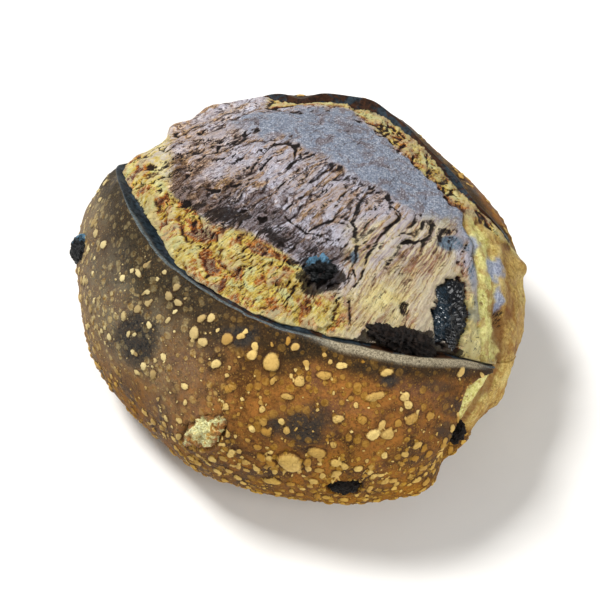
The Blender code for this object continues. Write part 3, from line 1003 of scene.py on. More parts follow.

# %% [markdown]
# ## Torn bloom: the finish
#
# Inside the score the dough stretched, tore and browned. Its skin is grey-blue with baked
# flour, the torn strands run from beige to brown and nearly black, and the youngest
# crumb, which opened last, is yellow to pale green. Hollows get painted shade and crests a
# painted highlight from a mask of how deep each point lies, which drives much of the contrast.

# %% Crumb material
def crumb_noises(r):
    """The noises that every colour below is mixed by: streaks, wisps and broad bands that
    run along the strands, and clouds of three sizes."""
    place = r.place()
    fibre = r.stretched(("strand", "run"), (1.0, 0.22))
    shade = r.plus(r.noise(place, 90.0, 7.0, 0.75, 0.9), r.times(r.mask("dark"), -0.15))
    return SimpleNamespace(
        place=place, gloom=r.fit(shade, 0.45, 0.38),
        streak=r.fit(r.noise(fibre, 1000.0, 6.0, 0.8, 0.5), 0.38, 0.62),
        wisp=r.fit(r.noise(fibre, 2200.0, 4.0, 0.75, 0.3), 0.4, 0.6),
        broad=r.fit(r.noise(fibre, 170.0, 6.0, 0.7, 1.2), 0.38, 0.55),
        cloud=mottle(r, place, 130.0), fine=mottle(r, place, 900.0),
        grit=mottle(r, place, 1900.0),
    )


def strand_colour(r, n):
    """Torn strands: beige and lilac bands, silver, rust and dark clouds, then dark streaks,
    light grit, a painted highlight on the wisps and dark between them."""
    place, cloud, streak, wisp, grit, gloom = n.place, n.cloud, n.streak, n.wisp, n.grit, n.gloom
    lilac = r.times(n.broad, r.line(r.mask("warm"), -0.75, 1.0))
    strand = r.mix(lilac, r.mix(cloud, "7c4c22", "c49a62"), "c2c2d4")
    silver = r.fit(r.noise(place, 80.0, 4.0, 0.6, 1.0), 0.52, 0.6, 0.0, 0.65)
    strand = r.mix(silver, strand, r.mix(streak, "aeabbe", "e8e8f4"))
    rust = r.fit(r.noise(place, 95.0, 5.0, 0.65, 1.0), 0.55, 0.61, 0.0, 0.6)
    strand = r.mix(rust, strand, r.mix(streak, "6a3818", "c08a50"))
    strand = r.mix(r.times(gloom, 0.88), strand, r.mix(cloud, "1c0f0a", "5c3418"))
    strand = r.mix(r.fit(streak, 0.4, 0.0, 0.0, 0.75), strand, "2c170c")
    strand = r.mix(r.fit(grit, 0.55, 0.95, 0.0, 0.55), strand, r.mix(lilac, "c89a64", "d6d2dc"))
    strand = r.mix(r.fit(grit, 0.45, 0.05, 0.0, 0.6), strand, "4e3024")
    # Painted highlight on the wisps, weaker in the dark clouds.
    lit = r.times(r.fit(wisp, 0.45, 0.85, 0.0, 0.8), r.line(gloom, -0.75, 1.0))
    strand = r.mix(lit, strand, r.mix(lilac, "d8b482", "e8e6ee"))
    return r.mix(r.fit(wisp, 0.3, 0.0, 0.0, 0.6), strand, "5a3c2c")


def skin_colour(r, n):
    """Floured skin: blue-grey with brown clouds, dark grit and pale specks of flour."""
    place, cloud, fine, streak, grit = n.place, n.cloud, n.fine, n.streak, n.grit
    skin = r.mix(fine, "687284", "aeb6c6")
    skin = r.mix(r.fit(cloud, 0.4, 0.9, 0.0, 0.7), skin, r.mix(streak, "6a5654", "9a8a88"))
    skin = r.mix(r.fit(grit, 0.6, 0.95, 0.0, 0.65), skin, "26242c")
    flour = specks(r, place, 1000.0, 0.6, 0.6)
    return r.mix(r.times(flour, 0.6), skin, "ccd0d8")


def golden_colour(r, n):
    """Golden crumb: yellow, orange, purple-brown and pale patches of one cloud, then dark
    streaks and a painted highlight on the wisps."""
    place, cloud, fine, streak, wisp = n.place, n.cloud, n.fine, n.streak, n.wisp
    patch = r.line(r.noise(place, 230.0, 5.0, 0.65, 0.8), 0.45, -0.225)
    patch = r.plus(patch, r.noise(place, 55.0, 2.0, 0.5, 1.6))
    yellow = r.mix(cloud, "c0921c", "e6d062")
    orange = r.mix(cloud, "8a3804", "dc801c")
    golden = r.mix(r.fit(patch, 0.49, 0.55), yellow, orange)
    golden = r.mix(r.fit(patch, 0.58, 0.63, 0.0, 0.9), golden, r.mix(fine, "3c1a12", "86625c"))
    golden = r.mix(r.fit(patch, 0.42, 0.35, 0.0, 0.8), golden, "d8dc9c")
    golden = r.mix(r.fit(streak, 0.4, 0.0, 0.0, 0.6), golden, "6a3808")
    # Painted highlight on the wisps.
    return r.mix(r.fit(wisp, 0.6, 1.0, 0.0, 0.5), golden, "e6dca0")


def crumb_material():
    """Strands, skin and golden crumb mixed by their masks, then pale, beige and blue
    places, painted shade in the hollows and a painted highlight on the crests, the burst,
    and over it all the char mask: real burnt places, and painted shade in slits, cracks,
    flake edges, pits and the gap at the back lip."""
    material, r, shader = new_material("crumb")
    n = crumb_noises(r)
    place, cloud, fine, streak, grit = n.place, n.cloud, n.fine, n.streak, n.grit
    colour = r.mix(r.mask("skin"), strand_colour(r, n), skin_colour(r, n))
    colour = r.mix(r.mask("gold"), colour, golden_colour(r, n))
    pale = r.mix(cloud, "e0c45c", "fff6b4")
    pale = r.mix(r.fit(r.noise(place, 260.0, 5.0, 0.7), 0.58, 0.68, 0.0, 0.9), pale, "8a5018")
    colour = r.mix(r.mask("pale"), colour, pale)
    hair = r.fit(r.noise(r.stretched(("strand", "run"), (1.0, 0.08)), 420.0, 5.0, 0.75, 0.4), 0.42, 0.56)
    colour = r.mix(r.mask("beige"), colour, r.mix(hair, "8a5220", "f0dea0"))
    colour = r.mix(r.mask("blue"), colour, r.mix(fine, "2c485e", "7292a8"))

    # Painted shade: brown, then near black, where the point lies deep below its neighbours or a streak
    # runs.
    deep = r.plus(r.mask("hollow_shade"), r.line(streak, -0.5, 0.25))
    deep = r.plus(deep, r.line(grit, -0.4, 0.2))
    brown = r.mix(r.mask("gold"), "38201a", "6a3010")
    colour = r.mix(r.fit(deep, 0.12, 0.55, 0.0, 0.8), colour, brown)
    colour = r.mix(r.fit(deep, 0.5, 1.0, 0.0, 0.92), colour, "0d0807")
    # Painted highlight on the crests, weaker in the dark clouds.
    crest_highlight = r.times(r.fit(deep, -0.15, -0.6, 0.0, 0.55), r.math("SUBTRACT", 1.0, r.mask("skin")))
    crest_highlight = r.times(crest_highlight, r.line(n.gloom, -0.7, 1.0))
    colour = r.mix(crest_highlight, colour, r.mix(r.mask("gold"), "c4bcc4", "e4d8a4"))
    colour = r.mix(r.mask("burst"), colour, burst_colour(r, place))
    colour = r.mix(r.times(r.mask("blue"), r.mask("burst")), colour,
                   r.mix(fine, "5c6886", "aeb6c8"))
    # Char and painted shade: real burnt places, and painted shade in slits, cracks, flake edges, pits and
    # the gap at the back lip.
    char_and_shade = r.plus(r.mask("char_and_shade"), r.line(cloud, 0.5, -0.25))
    char_and_shade = r.plus(char_and_shade, r.line(streak, -0.6, 0.3))
    char_and_shade = r.plus(char_and_shade, r.line(fine, 0.4, -0.2))
    char_and_shade = r.math("SUBTRACT", char_and_shade, r.times(r.mask("burst"), 0.3))
    colour = r.mix(r.fit(char_and_shade, 0.3, 0.6, 0.0, 0.92), colour, r.mix(fine, "040302", "22140c"))
    r.put(shader.inputs["Base Color"], colour)
    r.put(shader.inputs["Roughness"], r.fit(cloud, 0.0, 1.0, 0.55, 0.8))
    shader.inputs["Specular IOR Level"].default_value = 0.2
    grain = r.line(r.noise(place, 1700.0, 4.0, 0.7), 0.7, r.times(streak, 0.6))
    grain = r.times(grain, r.line(r.mask("burst"), -0.7, 1.0))
    r.put(shader.inputs["Normal"], r.bump(grain, 1.0 * MM))
    return material


CRUMB = crumb_material()

# %% [markdown]
# ## Torn bloom: where things lie
#
# The bloom is a square grid pressed into the round opening, so that its cells stay even
# and no pole shows on the crown. Its zones are read from lines across the picture: the
# smooth island of skin, and the line below which the crumb is golden. Flakes, long cracks,
# pits and stains are listed one by one, because their places make this loaf itself.

# %% Bloom places
BLOOM_SIDE = 312
FAN_POINT = (620.0, -57.0)  # picture place that the strands run towards
FAN_SCALE = 560.0
INNER_LIP = 1.2 * MM  # where the torn surface starts inside the lip
PIXEL = 0.5 * MM  # size of a picture pixel on the loaf

# Lines across the picture (pixels): x places, then y places
ISLAND_X = [226, 259, 292, 322, 352, 385, 405, 428, 448, 463, 478, 484]
ISLAND_TOP = [121, 113, 108, 105, 114, 134, 156, 179, 199, 216, 236, 262]
ISLAND_LOW = [124, 132, 139, 156, 173, 192, 206, 217, 226, 236, 248, 264]
GOLD_X = [120, 150, 168, 183, 212, 246, 272, 299, 320, 345, 365, 388, 410, 431, 465, 480]
GOLD_Y = [140, 160, 182, 203, 224, 230, 244, 264, 290, 290, 282, 268, 254, 244, 262, 300]

# Curled flakes: tail and tip in the picture, half width (pixels), height (mm)
FLAKES = [
    (250, 182, 291, 147, 13, 0.7), (318, 208, 341, 181, 10, 0.6), (318, 252, 354, 221, 14, 0.8),
    (348, 222, 385, 194, 13, 0.5), (366, 228, 396, 209, 9, 0.6), (376, 260, 412, 236, 8, 0.4),
]
# Long cracks: the places in the picture that each one runs through
CRACKS = [
    [(286, 216), (305, 231), (330, 238), (345, 241)],
    [(309, 231), (330, 221), (348, 221), (355, 228), (357, 246), (355, 262), (347, 278)],
    [(353, 264), (356, 285), (349, 300), (349, 332)],
    [(391, 203), (396, 218), (382, 234), (367, 258), (364, 271), (352, 290)],
    [(400, 238), (413, 241), (428, 238)],
]
# Hollows darkened with painted shade: place, half width and half height (pixels), depth (mm)
PITS = [
    (186, 203, 7, 3.5, 1.8), (242, 208, 9, 5, 2.2), (259, 216, 8, 5, 2.2), (219, 224, 5, 5, 1.5),
    (213, 188, 7, 2, 1.0), (238, 185, 6, 1.6, 0.9), (263, 112, 7, 2, 1.2), (412, 242, 13, 3, 1.5),
    (323, 282, 19, 11, 6.0), (262, 252, 5, 4, 1.2), (283, 245, 6, 4, 1.4), (200, 306, 3, 2, 1.2),
    (407, 310, 3, 5, 1.2), (504, 322, 4, 13, 1.8), (482, 404, 3, 14, 1.0), (290, 262, 6, 4, 1.3),
    (160, 190, 5, 3, 1.0), (152, 204, 5, 3, 1.0),
]
# Blue-grey stains round the plums: place, half width, half height (pixels)
STAINS = [
    (475, 246, 9, 11), (450, 243, 15, 7), (477, 305, 5, 14), (440, 341, 10, 6),
    (499, 268, 9, 13), (502, 300, 4, 12), (354, 258, 4, 6), (476, 276, 5, 18),
]
# Burnt spots: place, half width, half height (pixels), reach, raggedness, softness
BURNT = [
    (322, 280, 20, 13, 1.5, 0.5, 0.8), (402, 343, 36, 11, 1.25, 0.7, 0.3),
    (445, 352, 20, 8, 1.25, 0.5, 0.3),
]
# Pale crumb beside the large plum: place, half width, half height, reach, raggedness
PALE = [(392, 302, 36, 19, 1.25, 0.8), (474, 345, 12, 26, 1.3, 0.5)]
POCKET = (453, 312, 19, 35)  # hollow that holds the large plum
POCKET_DEPTH = 4.5  # mm

# Places across the picture where a zone starts and ends, and how softly it does
ISLAND_SPAN = (222, 488, 14, 10)
BEIGE_SPAN = (335, 462, 25, 10)
SCORCHED_SPAN = (168, 330, 12, 20)
BROWN_SPAN = (160, 400, 25, 90)
BEIGE_TOP = 212  # height in the picture where the beige crumb starts
BEHIND_START = 262  # where the torn crumb behind the island starts
YELLOW_END = 176  # where the yellow crumb at the left ends
WARM_END = 262  # where the browner strands at the left end
SHARP_X, SHARP_FADE = [300, 345], [9, 34]  # the golden line is sharp at the left


def shingles(strand, run, smooth, width, length, seed):
    """Overlapping torn flaps: each cell across the strands rises along its run and drops
    at its end, with its own length and start, and is rounded from side to side."""
    place = strand / width + 0.5 * fractal(smooth, 10 * MM, 3, seed)
    cell = np.floor(place).astype(np.int64)
    chance = lattice(cell, cell * 0, cell * 0, seed)
    along = run / (length * (0.6 + 0.8 * chance)) + 7 * chance
    along = along + 0.25 * fractal(smooth, 6 * MM, 3, seed + 1)
    rise = (1 - np.mod(along, 1.0)) ** 1.5
    side = 2 * (place - cell) - 1
    return rise * (1 - side**2) - 0.3


def off_line(x, y, path):
    """Distance in pixels to a line through places in the picture: the least of the
    distances to its straight runs."""
    least = np.full(x.shape, 99.0)
    for (x0, y0), (x1, y1) in zip(path, path[1:]):
        share = ((x - x0) * (x1 - x0) + (y - y0) * (y1 - y0)) / ((x1 - x0)**2 + (y1 - y0)**2)
        share = np.clip(share, 0, 1)
        least = np.minimum(least, np.hypot(x - x0 - share * (x1 - x0), y - y0 - share * (y1 - y0)))
    return least


def bloom_grid():
    """Bearing and latitude over a square grid: the square is pressed to a disc, whose
    radius runs from the crown to just inside the lip."""
    side = np.linspace(-1, 1, BLOOM_SIDE)
    u, v = np.meshgrid(side, side, indexing="xy")
    x, y = u * np.sqrt(1 - v**2 / 2), v * np.sqrt(1 - u**2 / 2)
    bearing = np.arctan2(y, x)
    lip = lip_line(bearing)
    reach = envelope(bearing, lip)
    edge = lip + (INNER_LIP + 0.1 * ring(GAP_WIDTH, bearing)) / reach
    return bearing, np.pi / 2 - np.hypot(x, y) * (np.pi / 2 - edge)


def one_way(shift):
    """Vectors that move a place along the first axis only."""
    return np.stack([shift, 0 * shift, 0 * shift], -1)


def bloom_frame(bearing, latitude):
    """What every layer below starts from: the smooth place, its ragged place (x, y) in
    the picture, its distance inside the gap, and the frame of the strands, where strand
    counts across them and run along them."""
    reach = envelope(bearing, latitude)
    smooth = point(bearing, latitude, reach)
    x, y = seen(smooth)
    x = x + 5.0 * fractal(smooth, 12 * MM, 4, 41)
    y = y + 5.0 * fractal(smooth, 12 * MM, 4, 42)
    inside = (latitude - lip_line(bearing)) * reach - INNER_LIP - ring(GAP_WIDTH, bearing)
    inside = inside + 1.2 * MM * fractal(smooth, 7 * MM, 3, 43)
    away = np.hypot(x - FAN_POINT[0], y - FAN_POINT[1])
    turn = np.arctan2(y - FAN_POINT[1], FAN_POINT[0] - x)
    strand, run = turn * FAN_SCALE * PIXEL, away * PIXEL
    fibre = np.stack([strand, run * 0.2, 0 * run], -1)
    warp = one_way(2.2 * MM * fractal(smooth, 18 * MM, 2, 44))
    return SimpleNamespace(
        bearing=bearing, latitude=latitude, smooth=smooth, x=x, y=y, inside=inside,
        strand=strand, run=run, fibre=fibre, ribs=fractal(fibre + warp, 11 * MM, 4, 45),
        ragged=fractal(smooth, 5 * MM, 4, 52), gold_line=np.interp(x, GOLD_X, GOLD_Y),
    )


at = bloom_frame(*bloom_grid())
print("torn surface:", at.x.size, "points, up to", round(at.inside.max() / MM), "mm from the gap")

# %% [markdown]
# ## Torn bloom: the zones
#
# A real crumb changes from place to place by how long it lay in the heat: the floured
# skin first, then the strands, and the golden front last. Each zone is a mask with its own
# soft or frayed edge, so layers and colours can both be blended by it.

# %% Bloom zones
def bloom_zones(at):
    """Where each kind of surface lies, from 0 to 1. A zone that ends at a line across the
    picture fades over the pixels that its step is divided by."""
    x, y = at.x, at.y
    top, low = np.interp(x, ISLAND_X, ISLAND_TOP), np.interp(x, ISLAND_X, ISLAND_LOW)
    across = between(x, *ISLAND_SPAN)
    frayed = y + 9 * fractal(at.smooth, 5 * MM, 3, 61)
    skin = soft((frayed - top) / 5 + 0.5) * soft((low - frayed) / 12 + 0.6) * across
    behind = soft((top - y) / 6) * soft((x - BEHIND_START) / 12)
    gold = soft((y - at.gold_line) / np.interp(x, SHARP_X, SHARP_FADE) + 0.4)
    burst = burst_zone(at.bearing, at.latitude, at.smooth)
    beige = between(x, *BEIGE_SPAN) * soft((y - BEIGE_TOP) / 15)
    left = soft((YELLOW_END - x) / 14) * (1 - gold)
    spots = [soft(reach - picture_blob(x, y, *blob) + rough * at.ribs)
             for *blob, reach, rough in PALE]
    scorched = bump((y - at.gold_line + 11) / 14) * between(x, *SCORCHED_SPAN)
    brown = bump((y - at.gold_line + 24) / 30) * between(x, *BROWN_SPAN)
    return SimpleNamespace(
        skin=skin, behind=behind, gold=gold, burst=burst, beige=beige, left=left,
        pale=0.85 * np.max(spots, axis=0), scorched=scorched, brown=brown,
        torn=(1 - skin) * (1 - burst),
    )


zone = bloom_zones(at)
for part in ("skin", "gold", "burst"):
    print(part, "covers", round(100 * (getattr(zone, part) > 0.5).mean()), "% of the torn surface")

# %% [markdown]
# ## Torn bloom: the layers
#
# The relief is a sum of layers, each in millimetres and each with one job: strands that
# fan from one point, curled flakes of skin that end in a sharp raised edge, a shaggy
# front, upright folds at the right, the smooth island, and the long cracks and pits. The
# same layers tell where shade is painted into slits, cracks, flake edges and pits.

# %% Bloom layers
def strand_layer(at, zone):
    """Height of the torn surface in mm, and how deeply slits cut it: broad ribs, ropes,
    threads and flaps along the strands, ledges in the golden crumb, and a low swell on
    the island."""
    smooth, run, fibre = at.smooth, at.run, at.fibre
    loose = one_way(6.0 * MM * fractal(smooth, 16 * MM, 5, 53))
    ropes = 1 - np.abs(fractal(fibre + loose, 5 * MM, 3, 46)) * 2.6
    threads = 1 - np.abs(fractal(fibre + loose, 1.9 * MM, 2, 47)) * 2.4
    flaps = shingles(at.strand + loose[..., 0], run, smooth, 7 * MM, 26 * MM, 54)
    flaps = flaps + 0.6 * shingles(at.strand - loose[..., 0], run, smooth, 4 * MM, 13 * MM, 55)
    torn_here = soft(0.5 + 1.6 * fractal(smooth, 16 * MM, 2, 56))
    slits = bump(fractal(fibre + 0.6 * loose, 6 * MM, 4, 57, 0.6) / 0.035) * torn_here
    slits = slits * (1 - 0.85 * zone.beige) * zone.torn
    shaggy = fractal(smooth + 0.8 * loose[..., :1] * [0, 1, 0.5], 10 * MM, 4, 48, 0.5)
    ledges = shaggy + 0.22 * np.sin(9 * shaggy)
    crumbs = fractal(smooth * [1, 1, 0.6] + fibre * 0.5, 2.6 * MM, 3, 49, 0.6)
    swell = fractal(smooth, 14 * MM, 3, 50)

    height = 1.1 * at.ribs + 0.12 * ropes + 0.22 * threads + 0.36 * flaps
    height = zone.torn * (height * (1 - 0.5 * zone.gold) + 0.25 * crumbs)
    shag = zone.gold * (1 - zone.burst) * (1 - 0.75 * zone.beige) + zone.behind
    height = height + shag * (2.1 * ledges + 0.25 * crumbs) - 0.8 * slits
    height = height + zone.skin * (1.0 + 0.45 * swell + 0.15 * crumbs)
    return height - 1.0 * zone.behind * (1 - zone.burst), slits


def flake_layer(at):
    """Height of the curled flakes in mm, and the thin line round each tip, which is a groove
    and also the painted shadow under the flake's edge: a flake grows from its tail to its
    tip and drops at its edge."""
    height, lines = np.zeros(at.x.shape), np.zeros(at.x.shape)
    for tail_x, tail_y, tip_x, tip_y, half, rise in FLAKES:
        length = math.hypot(tip_x - tail_x, tip_y - tail_y)
        ux, uy = (tip_x - tail_x) / length, (tip_y - tail_y) / length
        a = ((at.x - tail_x) * ux + (at.y - tail_y) * uy) / length
        b = ((at.y - tail_y) * ux - (at.x - tail_x) * uy) / half
        d = np.hypot(np.maximum(a * length - (length - half), 0) / half, b)
        grown = soft(a * 1.1 + 0.1)
        height = height + rise * grown**2 * soft((1.0 - d) / 0.16)
        # The line round the tip: a groove, and a painted shadow of the edge in the char mask.
        edge = bump((d - 1.05) / 0.07) * soft((a - 0.8 + 0.8 * at.ribs) / 0.2)
        lines = np.maximum(lines, edge)
    return height, lines


def crack_mask(at):
    """Long cracks: thin bells round their lines, broken up by noise."""
    crack = bump(np.min([off_line(at.x, at.y, path) for path in CRACKS], axis=0) / 1.3)
    return crack * soft(0.9 + 1.6 * fractal(at.smooth, 7 * MM, 3, 62))


def pit_layer(at):
    """Depth of the pits in mm, and how strongly painted shade darkens them."""
    sunk, dark = np.zeros(at.x.shape), np.zeros(at.x.shape)
    for *blob, depth in PITS:
        d = picture_blob(at.x, at.y, *blob) + 1.1 * at.ragged + 1.3 * at.ribs
        sunk = sunk + 0.7 * depth * soft((1.1 - d) / 0.8)
        # Painted shade in the pit.
        dark = np.maximum(dark, 0.62 * soft((1.4 - d) / 1.0))
    return sunk, dark


def pocket_distance(at):
    """Distance from the middle of the plum's pocket, a leaning rounded box, in its half
    sizes."""
    x, y, half_x, half_y = POCKET
    away_x = np.abs(at.x - x - 0.1 * (y - at.y)) / half_x
    away_y = np.abs(at.y - y) / half_y
    return (away_x**3 + away_y**3) ** (1 / 3) + 0.35 * at.ragged


def char_and_shade_mask(at, zone, marks):
    """Blackened places, the darkest of: the marks, which paint shade into slits, cracks,
    flake edges and pits; the two charred bands above the golden crumb; painted shade in the
    gap inside the back lip; and the burnt spots."""
    black = soft(0.6 + 2.2 * fractal(at.fibre, 8 * MM, 4, 58, 0.6))
    umber = soft(0.5 + 1.5 * fractal(at.fibre, 9 * MM, 4, 60, 0.6))
    # Painted shade in the gap inside the back lip.
    back_gap = soft((2.5 * MM - at.inside) / (3 * MM)) * soft(np.sin(at.bearing) * 3)
    back_gap = back_gap * soft(ring(GAP_DEPTH, at.bearing) / (2 * MM)) * (1 - zone.burst)
    burnt = [soft((reach - picture_blob(at.x, at.y, *blob) + rough * at.ragged) / fade)
             for *blob, reach, rough, fade in BURNT]
    bands = [0.95 * zone.scorched * black, 0.42 * zone.brown * umber]
    return np.max([*marks, *bands, back_gap, *burnt], axis=0)


def stain_mask(at):
    """Blue-grey stains with a ragged edge."""
    stain = np.zeros(at.x.shape)
    for blob in STAINS:
        d = picture_blob(at.x, at.y, *blob) + 0.6 * at.ragged
        stain = np.maximum(stain, 0.9 * soft((1.2 - d) / 0.6))
    return stain


# %% [markdown]
# ## Torn bloom: the sum
#
# Now the layers are added up, the surface is let down into the pocket and the dark gap,
# and the depth of each point below its neighbours is kept as a mask. That mask paints
# shade into the hollows and a highlight onto the crests, which makes torn bread look deep
# in flat light.

# %% Bloom relief
def bloom_relief(at, zone):
    """Relief of the torn surface in metres, with its masks: the layers added up, then
    lowered in the pocket and towards the gap inside the lip. Hollows are where the height
    lies below its own blurred copies, and their mask drives painted shade in them and a
    painted highlight on the crests."""
    height, slits = strand_layer(at, zone)
    folds, across = burst_relief(at.smooth)
    flakes, lines = flake_layer(at)
    crack = crack_mask(at)
    sunk, dark = pit_layer(at)
    pocket = pocket_distance(at)
    height = height * (1 - zone.burst) + zone.burst * (folds - 1.6)
    height = height + flakes - 0.7 * lines - 0.75 * crack - sunk
    height = height * soft((pocket - 0.8) / 0.3) - POCKET_DEPTH * soft((0.95 - pocket) / 0.08)

    inside, width = at.inside, ring(GAP_WIDTH, at.bearing)
    sink = ring(EDGE_SINK, at.bearing) * bump(np.maximum(inside + 5 * MM, 0) / EDGE_REACH)
    fall = soft(-inside / (0.75 * width) + 0.15) * (1 - zone.burst)
    fall = fall * (ring(GAP_DEPTH, at.bearing) + 0.8 * MM)
    near_edge = np.maximum(soft(inside / (3 * MM) + 0.7), zone.burst)
    height = height * MM * near_edge - sink - fall

    # A mask for painted shade in the hollows and a painted highlight on the crests.
    hollow_shade = (blurred(height, 2) - height) / (0.4 * MM)
    hollow_shade = hollow_shade + (blurred(height, 10) - height) / (0.95 * MM)
    hollow_shade = hollow_shade * (1 - 0.5 * zone.gold) * (1 - zone.burst) + (0.3 - 0.6 * folds) * zone.burst
    masks = {
        "skin": zone.skin, "gold": np.clip(zone.gold * (1 - 0.5 * zone.beige) + zone.behind, 0, 1),
        "pale": np.maximum(0.75 * zone.left, zone.pale),
        # Slits, cracks, flake edges and pits darken the crumb here as painted shade.
        "char_and_shade": char_and_shade_mask(at, zone, [0.6 * slits, 0.36 * crack, 0.35 * lines, dark]),
        "blue": stain_mask(at), "hollow_shade": hollow_shade, "strand": at.strand, "run": at.run,
        "burst": zone.burst, "across": np.abs(across), "dark": np.maximum(zone.brown, zone.scorched),
        "beige": 0.6 * zone.beige * (1 - 0.6 * zone.pale),
        "warm": soft((WARM_END - at.x) / 70 + 1.2 * fractal(at.smooth, 15 * MM, 3, 59)),
    }
    return height, masks


bloom_height, bloom_masks = bloom_relief(at, zone)
bloom_reach = envelope(at.bearing, at.latitude) + knobs(at.bearing, at.latitude)
bloom_points = point(at.bearing, at.latitude, bloom_reach + bloom_height - SKIN_INSET)
print("torn relief from", round(bloom_height.min() / MM, 1), "to", round(bloom_height.max() / MM, 1), "mm")

# %% [markdown]
# ## Torn bloom: the mesh
#
# The square patch is open at its border, but a piece has to be closed. So the border is
# drawn down to one point inside the loaf, where nothing shows.

# %% Bloom mesh
def patch_mesh(name, grid, inner, masks, material):
    """Closed mesh of a square patch: its border is drawn down to one inner point."""
    rows, columns = grid.shape[:2]
    index = np.arange(rows * columns).reshape(rows, columns)
    border = np.concatenate([index[0, :-1], index[:-1, -1], index[-1, :0:-1], index[:0:-1, 0]])
    after = np.roll(border, -1)
    skirt = np.stack([np.full(len(border), rows * columns), after, border], -1)
    points = np.concatenate([grid.reshape(-1, 3), [inner]])
    faces = grid_faces(rows, columns, False).tolist() + skirt.tolist()
    ends = {m: np.append(v.reshape(-1), v.mean()) for m, v in masks.items()}
    return add_mesh(name, points, faces, ends, material)


bloom = patch_mesh("bloom", bloom_points, (CORE[0], CORE[1], 45 * MM), bloom_masks, CRUMB)
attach(bloom, "root")
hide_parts("loaf")

# %% [markdown]
# ## Plums and cheese
#
# Each piece is the lumpy ellipsoid of its solid with finer relief. It lies in the frame
# of the surface: length and width run over the body, and depth points to the core.

# %% Piece shapes
# Bearing, latitude, half length, half width, half depth, depth of the middle (mm), turn
PLUMS = {
    "plum_crown": (282.0, 65.5, 8.4, 6.6, 6.2, 5.2, 0),
    "plum_pocket": (326.0, 35.0, 17.0, 9.8, 7.0, 7.6, 33),
    "plum_seam": (303.9, 38.5, 16.5, 5.0, 5.0, 2.6, -42),
    "plum_side": (173.0, 13.0, 11.0, 7.0, 6.0, 2.6, 80),
    "plum_front": (279.6, 3.5, 7.5, 6.0, 5.0, 3.6, 10),
    "plum_notch": (309.5, 8.5, 5.2, 3.6, 4.5, 1.6, 60),
}
CHEESE = (243.0, 13.5, 18.0, 8.2, 6.0, 5.0, 54)
LUMP = 0.09


def piece_grid(rows, columns, sizes, relief, power):
    """Points of a lumpy ellipsoid bent over the body, boxier with a power above 2. The
    unit sphere's x and y run along the turned length and width, its z along the line to
    the core, and relief(points) gives extra height in metres along its own radius."""
    bearing0, latitude0, long, wide, deep, sunk, turn = sizes
    polar = np.linspace(0, np.pi, rows + 2)[1:-1, None]
    round_ = np.linspace(0, 2 * np.pi, columns, endpoint=False)[None, :]
    unit = np.stack([np.sin(polar) * np.cos(round_), np.sin(polar) * np.sin(round_),
                     -np.cos(polar) + 0 * round_], -1)
    unit = np.concatenate([[[[0, 0, -1]] * columns][0], unit.reshape(-1, 3), [[0, 0, 1]] * columns])
    unit = unit.reshape(rows + 2, columns, 3)
    lumps = 1 + LUMP * (
        np.sin(3.1 * unit[..., 0] + bearing0) * np.cos(4.3 * unit[..., 1] + 0.7 * bearing0)
        + 0.6 * np.sin(6.1 * unit[..., 1] - 5.2 * unit[..., 0] + bearing0))
    boxy = (np.abs(unit) ** power).sum(-1) ** (-1 / power)
    body = unit * (boxy * lumps)[..., None] * np.array([long, wide, deep]) * MM
    body = body + unit * relief(body)[..., None]
    angle = math.radians(turn)
    east = body[..., 0] * math.cos(angle) - body[..., 1] * math.sin(angle)
    north = body[..., 0] * math.sin(angle) + body[..., 1] * math.cos(angle)
    middle = math.radians(bearing0), math.radians(latitude0)
    reach = envelope(*middle)
    theta_at = middle[0] + east / (reach * math.cos(middle[1]))
    phi_at = middle[1] + north / reach
    return point(theta_at, phi_at, envelope(theta_at, phi_at) - sunk * MM + body[..., 2]), body


def add_piece(name, sizes, rows, columns, relief, material, power=2.0):
    """Make a piece, ride it on the loaf and let it stand for its node."""
    grid, body = piece_grid(rows, columns, sizes, relief, power)
    low, high = grid[0, 0], grid[-1, 0]
    north = body[..., 1] / (sizes[3] * MM)
    rim = np.hypot(body[..., 0] / (sizes[2] * MM), north)
    masks = {"north": north[1:-1], "rim": rim[1:-1]}
    piece = lofted(name + "_skin", grid[1:-1], low, high, masks, material)
    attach(piece, "root")
    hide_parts(name)
    return piece


def beads(size, height, seed):
    """Relief of packed round beads: a dome over each cell."""
    def relief(p):
        """Height of the beads at points."""
        return height * (0.6 - cells(p, size, seed)) + 0.25 * height * noise(p, size * 3, seed)
    return relief


def wrinkles(size, height, seed):
    """Relief of wrinkled skin: folded noise with sharp valleys."""
    def relief(p):
        """Height of the wrinkles at points."""
        folds = 0.5 - 2 * np.abs(fractal(p, size, 3, seed))
        return height * (folds + 0.4 * fractal(p, size / 4, 2, seed))
    return relief


# %% [markdown]
# ## Plums and cheese: the finish
#
# Plum juice boils out and burns: glossy black beads in the pocket, dry char at the seam,
# and a painted blue highlight on the fruit that kept its skin. One function makes all three
# from a few values. The cheese is cream green and toasted at its rim.

# %% Plum and cheese materials
def plum_material(name, dark, light, top_sheen, roughness, grain, shine):
    """Burnt fruit: dark colour with lighter dry patches, and a painted blue highlight on the
    side towards the crown, as strong as the given strength of that highlight."""
    material, r, shader = new_material(name)
    place = r.place()
    cloud = mottle(r, place, 260.0)
    fine = mottle(r, place, 1100.0)
    colour = r.mix(r.times(cloud, fine), dark, light)
    # Painted highlight: blue on the side towards the crown.
    side = r.plus(r.mask("north"), r.line(cloud, 0.6, -0.3))
    blue = r.mix(fine, "16303f", "5f8ba6")
    colour = r.mix(r.fit(side, 0.05, 0.5, 0.0, top_sheen), colour, blue)
    r.put(shader.inputs["Base Color"], colour)
    r.put(shader.inputs["Roughness"], r.fit(fine, 0.0, 1.0, roughness, roughness + 0.3))
    shader.inputs["Specular IOR Level"].default_value = shine
    r.put(shader.inputs["Normal"], r.bump(r.noise(place, 1500.0, 3.0), grain))
    return material


